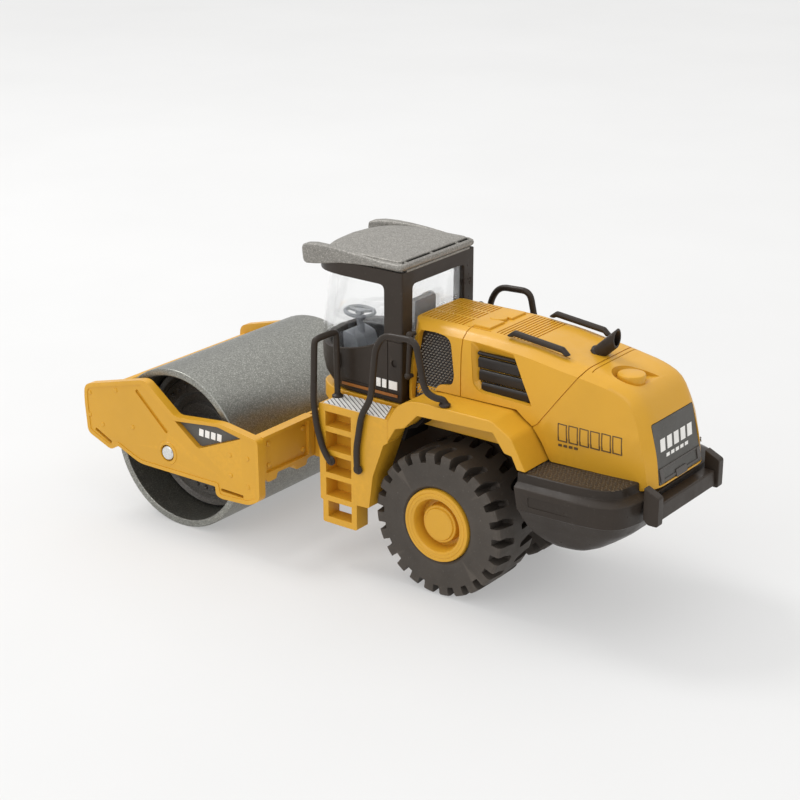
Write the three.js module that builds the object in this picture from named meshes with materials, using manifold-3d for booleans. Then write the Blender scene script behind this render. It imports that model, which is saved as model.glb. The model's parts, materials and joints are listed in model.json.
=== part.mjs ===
// Toy road roller: a smooth front drum in a yellow frame, hinged to a rear body with cab,
// engine hood, two ladders, fenders, a counterweight and two rubber-tyred wheels.
// Millimetres. +Z up, the drum points to -Y, the vehicle's left side is +X.
// The origin is at the centre of the footprint, on the ground.
import * as THREE from "three";
import { mergeVertices } from "three/addons/utils/BufferGeometryUtils.js";
import Module from "manifold-3d";

const wasm = await Module();
wasm.setup();

// ---------------------------------------------------------------- driving dimensions
const gap = 0.3; // between pieces that touch on the real toy
const runningGap = 0.35; // between a turning piece and the bore it runs in

const drumRadius = 22.3;
const drumWall = 2.05;
const drumWidth = 58.6;
const drumAxleRadius = 2;
const discRecess = 11.5; // from the drum's end to the face of its end disc
const discThickness = 2.4;
const hubRadius = 5;

const sideGap = 1.6; // drum end to frame plate
const plateThickness = 2.5;
const plateFrontReach = 8.2; // frame in front of the drum
const beamGap = 6.7; // drum to rear beam
const beamThickness = 2.9;
const forkReach = 6.7; // rear beam to pivot pin
const frontBeamHeight = 7.6;
const pivotRadius = 1.5;
const pivotHeight = 26.4;
const forkGap = 4; // opening between the two ears of the fork

const tyreRadius = 19;
const tyreWidth = 15.5;
const tyreOuterX = 22.45;
const lugCount = 24;
const lugDepth = 2.3;
const rimRadius = 9.5;
const rimProud = 0.45;
const wheelAxleRadius = 1.5;

const archGap = 1; // tyre to the ladder behind it
const ladderLength = 16; // along the vehicle
const ladderOuterX = 24;
const ladderPocketDepth = 4.6;
const ladderFootDepth = 4.6;
const ladderFootDrop = 32.5; // deck to the ladder's foot
const ladderToPivot = 6.1;
const stepRise = 6.35;
const deckOverTyre = 6.1; // deck above the top of the tyres
const fenderRise = 7.1; // fender top above the deck
const fenderThickness = 3.4;
const fenderOuterX = 24.6;

const cabHalfWidth = 15.5;
const cabLength = 31.5;
const cabToAxle = 15.9; // cab rear wall in front of the rear axle
const cabWall = 1.5;
const tubHeight = 11.4;
const cabHeight = 34.2; // cab bottom to the underside of the roof
const glassWall = 0.8;
const pillarWidth = 6;
const roofThickness = 2.6;
const roofHornDrop = 2.4;
const roofOverhang = 0.3;

const hoodRise = 23.3; // hood top above the deck
const hoodTopHalf = 9.4;
const hoodHalfWidth = 15.3;
const hoodFrontHalf = 11.5;
const hoodRearHalf = 12.6;
const hoodRearReach = 55.1; // behind the rear axle

const treadDrop = 3.9; // counterweight top below the deck
const weightHalfWidth = 26;
const weightRearReach = 53.5;
const rearReach = 57.8; // rearmost face behind the rear axle
const guardWidth = 2.4;
const guardOuterX = 15.9;

const railRadius = 0.85;
const railX = 25;
const hoodRailX = 9.4;

// ---------------------------------------------------------------- derived stations
const plateInnerX = drumWidth / 2 + sideGap;
const plateOuterX = plateInnerX + plateThickness;
const drumToPivot = drumRadius + beamGap + beamThickness + forkReach;
const pivotToAxle = tyreRadius + archGap + ladderLength + ladderToPivot;
const wheelbase = drumToPivot + pivotToAxle;
const frontReach = drumRadius + plateFrontReach;
const drumY = -(frontReach + wheelbase + rearReach) / 2 + frontReach;
const axleY = drumY + wheelbase;
const pivotY = drumY + drumToPivot;
const beamRearY = pivotY - forkReach;
const deckZ = 2 * tyreRadius + deckOverTyre;
const fenderZ = deckZ + fenderRise;
const hoodZ = deckZ + hoodRise;
const treadZ = deckZ - treadDrop;
const cabRearY = axleY - cabToAxle;
const cabFrontY = cabRearY - cabLength;
const cabZ = deckZ + 1.1;
const headerZ = cabZ + cabHeight;
const tyreInnerX = tyreOuterX - tyreWidth;
const chassisHalf = tyreInnerX - 0.7;
const archFrontY = axleY - tyreRadius - archGap;
const ladderFrontY = archFrontY - ladderLength;
const ladderInnerX = cabHalfWidth + gap + 0.1;

// ---------------------------------------------------------------- shape helpers
const X = new THREE.Vector3(1, 0, 0);
const Y = new THREE.Vector3(0, 1, 0);
const Z = new THREE.Vector3(0, 0, 1);

// A closed outline; each point is [a, b] or [a, b, corner radius].
function outline(points) {
  const shape = new THREE.Shape();
  points.forEach(([a, b, radius], i) => {
    const corner = new THREE.Vector2(a, b);
    const toward = (other) => {
      const edge = new THREE.Vector2(other[0], other[1]).sub(corner);
      return edge.setLength(Math.min(radius, edge.length() * 0.48)).add(corner);
    };
    const before = points.at(i - 1);
    const after = points[(i + 1) % points.length];
    const first = radius ? toward(before) : corner;
    if (i === 0) shape.moveTo(first.x, first.y);
    else shape.lineTo(first.x, first.y);
    if (radius) {
      const last = toward(after);
      shape.quadraticCurveTo(a, b, last.x, last.y);
    }
  });
  shape.closePath();
  return shape;
}

function circle(a, b, radius) {
  const shape = new THREE.Shape();
  shape.absarc(a, b, radius, 0, 2 * Math.PI);
  return shape;
}

// An outline pushed along an axis: (y, z) along x, (x, z) along y, or (x, y) along z.
const pushes = {
  x: (from) => new THREE.Matrix4().makeBasis(Y, Z, X).setPosition(from, 0, 0),
  y: (from, to) => new THREE.Matrix4().makeBasis(X, Z, Y.clone().negate()).setPosition(0, to, 0),
  z: (from) => new THREE.Matrix4().setPosition(0, 0, from),
};

function prism(axis, shape, from, to, curveSegments = 4) {
  const depth = to - from;
  const geometry = new THREE.ExtrudeGeometry(shape, { depth, bevelEnabled: false, curveSegments });
  return geometry.applyMatrix4(pushes[axis](from, to));
}

// A profile of [along, radius] points turned about an axis parallel to X through (y, z).
function turned(profile, y, z, segments = 48) {
  const points = profile.map(([along, radius]) => new THREE.Vector2(radius, along));
  const geometry = new THREE.LatheGeometry(points, segments);
  return geometry.rotateZ(-Math.PI / 2).translate(0, y, z);
}

function box(x0, x1, y0, y1, z0, z1) {
  const geometry = new THREE.BoxGeometry(x1 - x0, y1 - y0, z1 - z0);
  return geometry.translate((x0 + x1) / 2, (y0 + y1) / 2, (z0 + z1) / 2);
}

// A round rod through corner points, each bend rounded; points are [x, y, z].
function rod(points, radius, bend = 2, sides = 4, stepLength = 2) {
  const corners = points.map((p) => new THREE.Vector3(...p));
  const path = new THREE.CurvePath();
  let start = corners[0];
  corners.slice(1, -1).forEach((corner, i) => {
    const back = corners[i].clone().sub(corner);
    const ahead = corners[i + 2].clone().sub(corner);
    const reach = Math.min(bend, back.length() / 2, ahead.length() / 2);
    const enter = back.setLength(reach).add(corner);
    const leave = ahead.setLength(reach).add(corner);
    if (enter.distanceTo(start) > 1e-3) path.add(new THREE.LineCurve3(start, enter));
    path.add(new THREE.QuadraticBezierCurve3(enter, corner, leave));
    start = leave;
  });
  path.add(new THREE.LineCurve3(start, corners.at(-1)));
  const steps = Math.max(2, Math.round(path.getLength() / stepLength));
  const section = circle(0, 0, radius);
  return new THREE.ExtrudeGeometry(section, {
    steps,
    extrudePath: path,
    bevelEnabled: false,
    curveSegments: sides,
  });
}

function cylinder(radius, length, matrix, sides = 16) {
  const geometry = new THREE.CylinderGeometry(radius, radius, length, sides);
  return geometry.rotateX(Math.PI / 2).applyMatrix4(matrix);
}

const place = (x, y, z) => new THREE.Matrix4().setPosition(x, y, z);

function solid(geometry) {
  const bare = geometry.clone();
  bare.deleteAttribute("normal");
  bare.deleteAttribute("uv");
  const merged = mergeVertices(bare, 1e-4);
  const mesh = new wasm.Mesh({
    numProp: 3,
    vertProperties: merged.attributes.position.array,
    triVerts: new Uint32Array(merged.index.array),
  });
  return new wasm.Manifold(mesh);
}

const join = (first, ...others) => others.reduce((sum, s) => sum.add(s), first);
const cut = (first, ...others) => others.reduce((rest, s) => rest.subtract(s), first);
const common = (first, ...others) => others.reduce((rest, s) => rest.intersect(s), first);
const mirrored = (shape) => shape.mirror([1, 0, 0]);

// ---------------------------------------------------------------- materials
const paint = (name, color, roughness, metalness) =>
  new THREE.MeshStandardMaterial({ name, color, roughness, metalness });
const yellow = paint("yellow_paint", 0xe0b04a, 0.38, 0.1);
const metallicGrey = paint("metallic_grey", 0x8c8c86, 0.45, 0.6);
const black = paint("black_plastic", 0x4b4640, 0.45, 0);
const rubber = paint("tyre_rubber", 0x3c3833, 0.75, 0);
const steel = paint("steel", 0xd9d9d6, 0.25, 1);
const darkInlay = paint("dark_inlay", 0x4c4b4a, 0.5, 0);
const clear = paint("clear_plastic", 0xf4f6f6, 0.05, 0);
const greyTrim = paint("grey_trim", 0x8a8d90, 0.5, 0);

const group = new THREE.Group();

function addMesh(name, shape, material) {
  const source = shape.getMesh();
  const geometry = new THREE.BufferGeometry();
  geometry.setAttribute("position", new THREE.BufferAttribute(source.vertProperties, 3));
  geometry.setIndex(new THREE.BufferAttribute(source.triVerts, 1));
  const mesh = new THREE.Mesh(geometry, material);
  mesh.name = name;
  group.add(mesh);
  return mesh;
}

// The shape is the left one; the right one is its mirror image.
function addPair(name, shape, material) {
  addMesh(name + "_left", shape, material);
  addMesh(name + "_right", shape, material).scale.x = -1;
}

// ---------------------------------------------------------------- drum
const drumEnd = drumWidth / 2;
const boreRadius = drumRadius - drumWall;
const ring = [
  [-drumEnd, boreRadius],
  [-drumEnd, drumRadius],
  [drumEnd, drumRadius],
  [drumEnd, boreRadius],
  [-drumEnd, boreRadius],
];
addMesh("drum_shell", solid(turned(ring, drumY, drumRadius, 64)), metallicGrey);

const discFace = drumEnd - discRecess;
const discRadius = boreRadius - gap;
const hubBore = drumAxleRadius + gap;
const hubEnd = drumEnd - 1;
const ridge = 0.5;
const discProfile = [
  [discFace - discThickness, hubBore],
  [discFace - discThickness, discRadius],
  [discFace, discRadius],
  [discFace, discRadius * 0.83],
  [discFace + ridge, discRadius * 0.8],
  [discFace + ridge, discRadius * 0.6],
  [discFace, discRadius * 0.57],
  [discFace, discRadius * 0.43],
  [discFace + 2 * ridge, discRadius * 0.4],
  [discFace + 2 * ridge, hubRadius],
  [hubEnd, hubRadius],
  [hubEnd, hubBore],
  [discFace - discThickness, hubBore],
];
addPair("drum_disc", solid(turned(discProfile, drumY, drumRadius, 32)), darkInlay);

const axleEnd = plateOuterX;
const drumAxle = [
  [-axleEnd, 0],
  [-axleEnd, drumAxleRadius],
  [axleEnd, drumAxleRadius],
  [axleEnd, 0],
];
addMesh("drum_axle", solid(turned(drumAxle, drumY, drumRadius, 24)), steel);

// ---------------------------------------------------------------- drum frame
// Side plate outline, from the drum axle: (along, above the axle).
const plateFront = -frontReach;
const plateRear = drumRadius + beamGap + beamThickness + 0.4;
const plateTop = drumRadius * 0.845;
const plateBottom = -5.3;
const plateOutline = [
  [plateFront, 8.4],
  [plateFront + 0.3, 13.2, 2],
  [-8.6, plateTop, 0.8],
  [-6.7, plateTop - 0.1, 0.8],
  [3.5, 11.1, 1],
  [19.4, 12.8, 1.5],
  [plateRear - 0.2, 11, 1.2],
  [plateRear, -5.6, 1.2],
  [plateRear - 3.6, -7.7, 1.5],
  [plateRear - 13.4, -8.3, 1],
  [plateRear - 15.2, -7.7, 1],
  [plateRear - 15.4, plateBottom],
  [-10.4, plateBottom - 0.1, 1.5],
  [-18.4, -2.3],
  [-21.2, -4, 1],
  [plateFront + 0.7, -0.7, 1.2],
  [plateFront + 0.5, 2.6],
];
const fromDrum = ([a, b, r]) => [drumY + a, drumRadius + b, r];
const plateBody = solid(prism("x", outline(plateOutline.map(fromDrum)), plateInnerX, plateOuterX));
const axleHole = solid(
  prism("x", circle(drumY, drumRadius, drumAxleRadius + runningGap), plateInnerX - 1, plateOuterX + 1),
);
const badgePoints = [
  [3.6, 10.6],
  [17.6, 10.9],
  [24.9, 9.4],
  [11.6, 3.9],
];
const badgeDepth = 1.5;
const badgeShape = outline(badgePoints.map(fromDrum));
const badgePocket = prism("x", badgeShape, plateOuterX - badgeDepth, plateOuterX + 1);
const slotHeight = 0.9;
const lugSlot = (a, b, length, turn) => {
  const slot = box(plateInnerX - 1, plateOuterX + 1, -length / 2, length / 2, -slotHeight / 2, slotHeight / 2);
  return solid(slot.rotateX(turn).translate(0, drumY + a, drumRadius + b));
};
const framePlate = cut(
  plateBody,
  axleHole,
  solid(badgePocket),
  lugSlot(plateRear - 8.6, -6.2, 8, 0),
  lugSlot(plateFront + 5.2, -0.9, 5.6, -0.42),
);
addPair("frame_plate", framePlate, yellow);

const badgeCentre = [14.4, 8.7];
const shrink = 1 - (2 * gap) / 14;
const badgeFit = badgePoints.map(([a, b]) => [
  badgeCentre[0] + (a - badgeCentre[0]) * shrink,
  badgeCentre[1] + (b - badgeCentre[1]) * (1 - (2 * gap) / 6),
]);
const badgePlate = prism(
  "x",
  outline(badgeFit.map(fromDrum)),
  plateOuterX - badgeDepth + gap,
  plateOuterX - badgeDepth + gap + 0.6,
);
addPair("frame_badge", solid(badgePlate), darkInlay);

const beamEndX = plateInnerX - gap;
const frontBeamY = drumY + plateFront + 1;
const frontBeam = [
  [frontBeamY, drumRadius + 3.4, 0.6],
  [frontBeamY, drumRadius + 3.4 + frontBeamHeight, 1],
  [frontBeamY + 2.4, drumRadius + 3.4 + frontBeamHeight, 0.6],
  [frontBeamY + 2.4, drumRadius + 3.4, 0.6],
];
addMesh("frame_front_beam", solid(prism("x", outline(frontBeam), -beamEndX, beamEndX)), yellow);

const beamFrontY = beamRearY - beamThickness;
const beamTop = drumRadius + 11.2;
const beamBottom = drumRadius - 1.9;
const hitchHalf = 9.8;
// Lower edge with two shallow lugs a side; the middle is open for the hitch block.
const beamHalf = [
  [hitchHalf + gap, beamTop],
  [hitchHalf + gap, beamBottom + 1.7],
  [hitchHalf + 3.4, beamBottom + 1.7],
  [hitchHalf + 4, beamBottom],
  [hitchHalf + 8.2, beamBottom],
  [hitchHalf + 9, beamBottom + 1.6],
  [beamEndX - 5.2, beamBottom + 1.8],
  [beamEndX - 4.6, beamBottom + 0.2],
  [beamEndX - 1.2, beamBottom + 0.2],
  [beamEndX, beamBottom + 1.2],
  [beamEndX, beamTop, 0.8],
];
const beamSide = solid(prism("y", outline(beamHalf), beamFrontY, beamRearY));
const beamPanel = solid(
  box(hitchHalf + 2.4, beamEndX - 1.2, beamRearY - 0.9, beamRearY + 1, beamBottom + 3.2, beamTop - 1.8),
);
const beamTie = box(-hitchHalf - 1, hitchHalf + 1, beamFrontY, beamFrontY + 1.1, beamBottom + 3, beamTop);
const rearBeamLeft = cut(beamSide, beamPanel);
addMesh("frame_rear_beam", join(rearBeamLeft, mirrored(rearBeamLeft), solid(beamTie)), yellow);

const earRadius = 4.6;
const earThickness = 3;
const forkTop = pivotHeight + forkGap / 2;
const forkBottom = pivotHeight - forkGap / 2;
const pinHoleRadius = pivotRadius + runningGap;
const earOutline = [
  [-hitchHalf + 1.5, beamRearY],
  [-earRadius, pivotY + 1.5, 2],
  [-earRadius + 1.5, pivotY + earRadius - 0.6, 2],
  [earRadius - 1.5, pivotY + earRadius - 0.6, 2],
  [earRadius, pivotY + 1.5, 2],
  [hitchHalf - 1.5, beamRearY],
];
// The block behind the beam reaches both ears, whatever the drum's size.
const blockBottom = Math.min(beamBottom + 1.2, forkBottom - earThickness + 0.2);
const blockTop = Math.max(beamTop - 0.8, forkTop + earThickness);
const blockFront = beamFrontY + 1.1 + gap;
const hitchBlock = box(-hitchHalf, hitchHalf, blockFront, beamRearY + 1.6, blockBottom, blockTop);
const hitchFork = cut(
  join(
    solid(hitchBlock),
    solid(prism("z", outline(earOutline), forkTop, forkTop + earThickness)),
    solid(prism("z", outline(earOutline), forkBottom - earThickness, forkBottom)),
  ),
  solid(cylinder(pinHoleRadius, 40, place(0, pivotY, pivotHeight), 20)),
);
addMesh("hitch_fork", hitchFork, yellow);

// ---------------------------------------------------------------- pivot and chassis
const pinTop = forkTop + earThickness + 0.8;
const pinBottom = forkBottom - earThickness - 0.6;
const pinBody = cylinder(pivotRadius, pinTop - pinBottom, place(0, pivotY, (pinTop + pinBottom) / 2), 20);
const pinHead = cylinder(pivotRadius + 1.2, 1, place(0, pivotY, pinTop + 0.5), 20);
addMesh("pivot_pin", join(solid(pinBody), solid(pinHead)), steel);

const tongueHalf = forkGap / 2 - runningGap;
const tongueRoot = chassisHalf - 0.2;
const tongueOutline = [
  [-tongueRoot, ladderFrontY + 4],
  [-3.8, pivotY - 0.5, 1.5],
  [-2, pivotY - 3.4, 1.5],
  [2, pivotY - 3.4, 1.5],
  [3.8, pivotY - 0.5, 1.5],
  [tongueRoot, ladderFrontY + 4],
];
const chassisBottom = tyreRadius - 6.2;
const platformBottom = deckZ - 3.4;
const weightInnerY = axleY + tyreRadius + 5.6;
const chassisOutline = [
  [ladderFrontY + 1.5, chassisBottom + 3, 2],
  [ladderFrontY + 5, chassisBottom],
  [axleY + 9, chassisBottom],
  [weightInnerY - gap, chassisBottom + 9.5],
  [weightInnerY - gap, platformBottom - gap],
  [ladderFrontY + 1.5, platformBottom - gap, 2],
];
const screwRadius = 2.1;
const screwDepth = 1.2;
const screwYs = { front: axleY - tyreRadius - 7, rear: axleY + 5.6 };
const screwHole = (y) =>
  solid(cylinder(screwRadius + gap, 2 * screwDepth + 0.6, place(0, y, chassisBottom)));
const chassis = cut(
  join(
    solid(prism("x", outline(chassisOutline), -chassisHalf, chassisHalf)),
    solid(prism("z", outline(tongueOutline), pivotHeight - tongueHalf, pivotHeight + tongueHalf)),
  ),
  solid(cylinder(pivotRadius + gap, 40, place(0, pivotY, pivotHeight), 20)),
  solid(
    prism("x", circle(axleY, tyreRadius, wheelAxleRadius + runningGap), -chassisHalf - 1, chassisHalf + 1),
  ),
  ...Object.values(screwYs).map(screwHole),
);
addMesh("chassis_base", chassis, black);

for (const [place_, y] of Object.entries(screwYs)) {
  const head = cylinder(screwRadius, screwDepth, place(0, y, chassisBottom + screwDepth / 2), 20);
  const slot = box(-screwRadius * 0.7, screwRadius * 0.7, y - 0.25, y + 0.25, chassisBottom - 1, chassisBottom + 0.6);
  const cross = box(-0.25, 0.25, y - screwRadius * 0.7, y + screwRadius * 0.7, chassisBottom - 1, chassisBottom + 0.6);
  addMesh("base_screw_" + place_, cut(solid(head), solid(slot), solid(cross)), steel);
}

// ---------------------------------------------------------------- wheels
function lugOutline(radius, depth, count, phase) {
  const pitch = (2 * Math.PI) / count;
  const points = [];
  for (let i = 0; i < count; i++) {
    for (const [share, r] of [
      [-0.27, radius],
      [0.27, radius],
      [0.33, radius - depth],
      [0.67, radius - depth],
    ]) {
      const angle = (i + share + phase) * pitch;
      points.push([axleY + r * Math.cos(angle), tyreRadius + r * Math.sin(angle)]);
    }
  }
  return outline(points);
}

const lugBand = tyreWidth * 0.33;
const rimBore = rimRadius + gap;
const tyreBlank = join(
  solid(prism("x", lugOutline(tyreRadius, lugDepth, lugCount, 0), tyreInnerX, tyreInnerX + lugBand)),
  solid(prism("x", circle(axleY, tyreRadius, tyreRadius - 0.5), tyreInnerX + lugBand, tyreOuterX - lugBand, 26)),
  solid(prism("x", lugOutline(tyreRadius, lugDepth, lugCount, 0.5), tyreOuterX - lugBand, tyreOuterX)),
);
const tyreBore = solid(
  prism("x", circle(axleY, tyreRadius, rimBore), tyreInnerX - 1, tyreOuterX + 1, 20),
);
addPair("tyre", cut(tyreBlank, tyreBore), rubber);

const rimFace = tyreOuterX + rimProud;
const rimHubBore = wheelAxleRadius + gap;
const capRadius = rimRadius * 0.5;
const rimProfile = [
  [tyreInnerX, rimHubBore],
  [tyreInnerX, rimRadius],
  [rimFace - 0.4, rimRadius],
  [rimFace, rimRadius * 0.96],
  [rimFace, rimRadius * 0.82],
  [rimFace - 0.7, rimRadius * 0.76],
  [rimFace - 3.6, rimRadius * 0.66],
  [rimFace - 3.8, capRadius * 1.06],
  [rimFace - 1.2, capRadius],
  [rimFace - 0.9, capRadius * 0.88],
  [rimFace - 0.9, 0],
  [rimFace - 2.4, 0],
  [rimFace - 2.4, rimHubBore],
  [tyreInnerX, rimHubBore],
];
addPair("rim", solid(turned(rimProfile, axleY, tyreRadius, 32)), yellow);

const wheelAxleEnd = rimFace - 2.4 - gap;
const wheelAxle = [
  [-wheelAxleEnd, 0],
  [-wheelAxleEnd, wheelAxleRadius],
  [wheelAxleEnd, wheelAxleRadius],
  [wheelAxleEnd, 0],
];
addMesh("rear_axle", solid(turned(wheelAxle, axleY, tyreRadius, 20)), steel);

// ---------------------------------------------------------------- platform, ladders, fenders
const fromAxle = ([a, b, r]) => [axleY + a, deckZ + b, r];
const cabPlan = (inset, frontY = cabFrontY) => {
  const half = cabHalfWidth - inset;
  const front = frontY + inset;
  return outline([
    [half, cabRearY - inset],
    [half, cabRearY - 19],
    [half - 0.5, front + 6, 3],
    [half - 5, front + 0.2, 3],
    [-half + 5, front + 0.2, 3],
    [-half + 0.5, front + 6, 3],
    [-half, cabRearY - 19],
    [-half, cabRearY - inset],
  ]);
};
const platformFront = solid(prism("z", cabPlan(0.3, cabFrontY + 1.5), platformBottom, cabZ - gap));
const platformRearEnd = 17.8; // behind the rear axle, under the hood
const platformHalf = cabHalfWidth - 1.9;
const platformStep = [
  [-cabToAxle - 2, -3.4],
  [platformRearEnd, -3.4],
  [platformRearEnd, fenderRise - 0.1],
  [-cabToAxle + 3.2, fenderRise - 0.1],
  [-cabToAxle + 3.2, 0.8],
  [-cabToAxle - 2, 0.8],
];
const platformRear = prism("x", outline(platformStep.map(fromAxle)), -platformHalf, platformHalf);
const platform = join(platformFront, solid(platformRear));
addMesh("cab_platform", platform, yellow);

const archFront = -(tyreRadius + archGap);
const ladderFront = archFront - ladderLength;
const ladderSide = [
  [ladderFront, 0, 0.8],
  [ladderFront + 0.3, -26.2],
  [ladderFront + 1.1, -26.5],
  [ladderFront + 1.1, -ladderFootDrop, 0.6],
  [ladderFront + 12.1, -ladderFootDrop, 0.6],
  [ladderFront + 12.1, -25.4],
  [archFront, -25.2, 0.5],
  [archFront + 1.2, -16.3],
  [archFront + 4.6, -7],
  [archFront + 6, -6],
  [archFront + 6, 0],
];
const ladderBody = solid(prism("x", outline(ladderSide.map(fromAxle)), ladderInnerX, ladderOuterX));
const pocketFront = axleY + ladderFront + 2.2;
const pocketRear = pocketFront + 8.2;
const treadBoard = 1.5;
const windowTop = deckZ - ladderFootDrop + 1.7 + 4.4;
const pockets = [0, 1, 2, 3].map((i) => {
  const top = windowTop + (i + 1) * stepRise - (i === 3 ? 0.9 : 0);
  const floor = windowTop + i * stepRise + treadBoard;
  return solid(box(ladderOuterX - ladderPocketDepth, ladderOuterX + 1, pocketFront, pocketRear, floor, top));
});
const ladderWindow = solid(
  box(ladderInnerX - 1, ladderOuterX + 1, pocketFront + 0.6, pocketRear, windowTop - 4.4, windowTop),
);
const footBack = solid(
  box(ladderInnerX - 1, ladderOuterX - ladderFootDepth, ladderFrontY - 1, archFrontY + 1, 0, deckZ - 26.5),
);
addPair("ladder", cut(ladderBody, ...pockets, ladderWindow, footBack), yellow);

const archBack = tyreRadius + 5.5;
const underside = fenderRise - fenderThickness;
const fenderSide = [
  [archFront + 6.3, 0],
  [archFront + 9, 4.5, 1.5],
  [archFront + 12.5, fenderRise - 0.4, 2],
  [archFront + 17, fenderRise],
  [tyreRadius - 2, fenderRise, 1],
  [tyreRadius + 3.7, fenderRise - 3.2, 1],
  [tyreRadius + 7.9, -treadDrop + gap],
  [archBack, -treadDrop + gap],
  [archBack - 1.6, -0.5],
  [archBack - 3.7, -0.2],
  [tyreRadius - 1.6, underside + 0.5],
  [archFront + 15.3, underside - 0.3],
  [archFront + 11.4, -0.7],
  [archFront + 8.7, -1.6],
  [archFront + 6.3, -5.5],
];
const fenderInnerX = platformHalf + gap;
const fenderBody = solid(prism("x", outline(fenderSide.map(fromAxle)), fenderInnerX, fenderOuterX));
const cabClearance = solid(box(0, ladderInnerX, cabFrontY, cabRearY + 1, deckZ - 20, hoodZ));
addPair("fender", cut(fenderBody, cabClearance), yellow);

// ---------------------------------------------------------------- counterweight and bumper
const weightProfile = [
  [tyreRadius + 5.8, 0],
  [tyreRadius + 7.4, -10.2],
  [tyreRadius + 12.5, -16.8, 2],
  [tyreRadius + 17, -19.1, 2],
  [tyreRadius + 24.5, -17.2, 2],
  [weightRearReach - 1, -10.4, 1.5],
  [weightRearReach, -8.5],
  [weightRearReach, -4.4],
  [weightRearReach - 2.5, -3],
  [weightRearReach - 2.5, 0],
].map(([a, b, r]) => [axleY + a, treadZ + b, r]);
const weightSide = solid(prism("x", outline(weightProfile), -weightHalfWidth, weightHalfWidth));
const weightPlan = [
  [weightHalfWidth, axleY + tyreRadius + 5],
  [weightHalfWidth - 1.2, axleY + weightRearReach - 5.5, 3],
  [weightHalfWidth - 4.2, axleY + weightRearReach - 1.3, 3],
  [guardOuterX - 2, axleY + weightRearReach],
  [-guardOuterX + 2, axleY + weightRearReach],
  [-weightHalfWidth + 4.2, axleY + weightRearReach - 1.3, 3],
  [-weightHalfWidth + 1.2, axleY + weightRearReach - 5.5, 3],
  [-weightHalfWidth, axleY + tyreRadius + 5],
];
const weightFlare = [
  [-weightHalfWidth, 0],
  [-weightHalfWidth, -9.5],
  [-weightHalfWidth + 3.6, -20],
  [weightHalfWidth - 3.6, -20],
  [weightHalfWidth, -9.5],
  [weightHalfWidth, 0],
].map(([a, b]) => [a, treadZ + b]);
const counterweight = common(
  weightSide,
  solid(prism("z", outline(weightPlan), treadZ - 25, treadZ)),
  solid(prism("y", outline(weightFlare), axleY + tyreRadius, axleY + rearReach)),
);
addMesh("counterweight", counterweight, black);

const rearY = axleY + rearReach;
const guardFrontY = axleY + weightRearReach + gap;
const guardTop = treadZ - 0.6;
const guardBottom = treadZ - 8.7;
const guardSide = [
  [guardFrontY, guardBottom + 1.2],
  [guardFrontY, guardTop + 1],
  [rearY, guardTop - 0.9, 0.6],
  [rearY, guardBottom, 0.6],
  [guardFrontY + 1.4, guardBottom],
];
addPair(
  "rear_guard",
  solid(prism("x", outline(guardSide), guardOuterX - guardWidth, guardOuterX)),
  black,
);
const bumperHalf = guardOuterX - guardWidth - gap;
const bumperSide = [
  [guardFrontY, guardBottom + 0.6],
  [guardFrontY, guardBottom + 4.6],
  [rearY - 1, guardBottom + 4.6, 0.5],
  [rearY - 0.6, guardBottom + 0.6, 0.5],
];
addMesh("bumper", solid(prism("x", outline(bumperSide), -bumperHalf, bumperHalf)), black);

// ---------------------------------------------------------------- hood
// Side profile from the rear axle and the deck.
const hoodFront = -cabToAxle + gap;
const hoodSkirt = fenderRise + gap;
const hoodFoot = -treadDrop + gap;
const hoodSide = [
  [hoodFront, 1.2],
  [hoodFront, hoodRise, 1.2],
  [8, hoodRise - 0.1, 2],
  [28, hoodRise - 2.2, 2],
  [43, hoodRise - 4.9, 4],
  [50, hoodRise - 10.2, 3],
  [53.4, 4.4, 3],
  [hoodRearReach, hoodFoot],
  [tyreRadius + 9.4, hoodFoot],
  [tyreRadius + 7, hoodFoot + 5.9],
  [tyreRadius + 3.7, hoodFoot + 8.1],
  [tyreRadius - 0.9, hoodSkirt + 0.2],
  [hoodFront + 1.5, hoodSkirt],
  [hoodFront + 1.5, 1.2],
];
const hoodSection = [
  [hoodTopHalf, hoodRise + 1],
  [hoodTopHalf, hoodRise + 0.2],
  [hoodTopHalf + 2.4, hoodRise - 1.7],
  [hoodHalfWidth, fenderRise + gap],
  [hoodHalfWidth, 1.5],
  [hoodHalfWidth - 1.4, -treadDrop],
  [hoodHalfWidth - 1.4, -treadDrop - 6],
];
const hoodPlan = [
  [hoodFrontHalf, cabRearY],
  [hoodHalfWidth, cabRearY + 15],
  [hoodHalfWidth, axleY + tyreRadius + 9],
  [hoodRearHalf, axleY + hoodRearReach + 1],
];
const bothSides = (half) => [...half, ...half.toReversed().map(([a, b]) => [-a, b])];
const hoodFull = common(
  solid(prism("x", outline(hoodSide.map(fromAxle)), -hoodHalfWidth - 2, hoodHalfWidth + 2)),
  solid(
    prism(
      "y",
      outline(bothSides(hoodSection).map(([a, b]) => [a, deckZ + b])),
      cabRearY,
      axleY + hoodRearReach + 1,
    ),
  ),
  solid(prism("z", outline(bothSides(hoodPlan)), treadZ - 8, hoodZ + 2)),
);

// A flat panel set in the hood's side or rear: a frame with u along, v up and w outward.
function panelFrame(origin, along, up) {
  const u = new THREE.Vector3(...along).normalize();
  const w = u.clone().cross(new THREE.Vector3(...up)).normalize();
  const v = w.clone().cross(u);
  return new THREE.Matrix4().makeBasis(u, v, w).setPosition(...origin);
}

function panel(points, matrix, from, to, grow = 0) {
  const middle = points.reduce(([a, b], [p, q]) => [a + p / points.length, b + q / points.length], [0, 0]);
  const grown = points.map(([a, b]) => [a + Math.sign(a - middle[0]) * grow, b + Math.sign(b - middle[1]) * grow]);
  const geometry = new THREE.ExtrudeGeometry(outline(grown), { depth: to - from, bevelEnabled: false });
  return solid(geometry.translate(0, 0, from).applyMatrix4(matrix));
}

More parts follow.
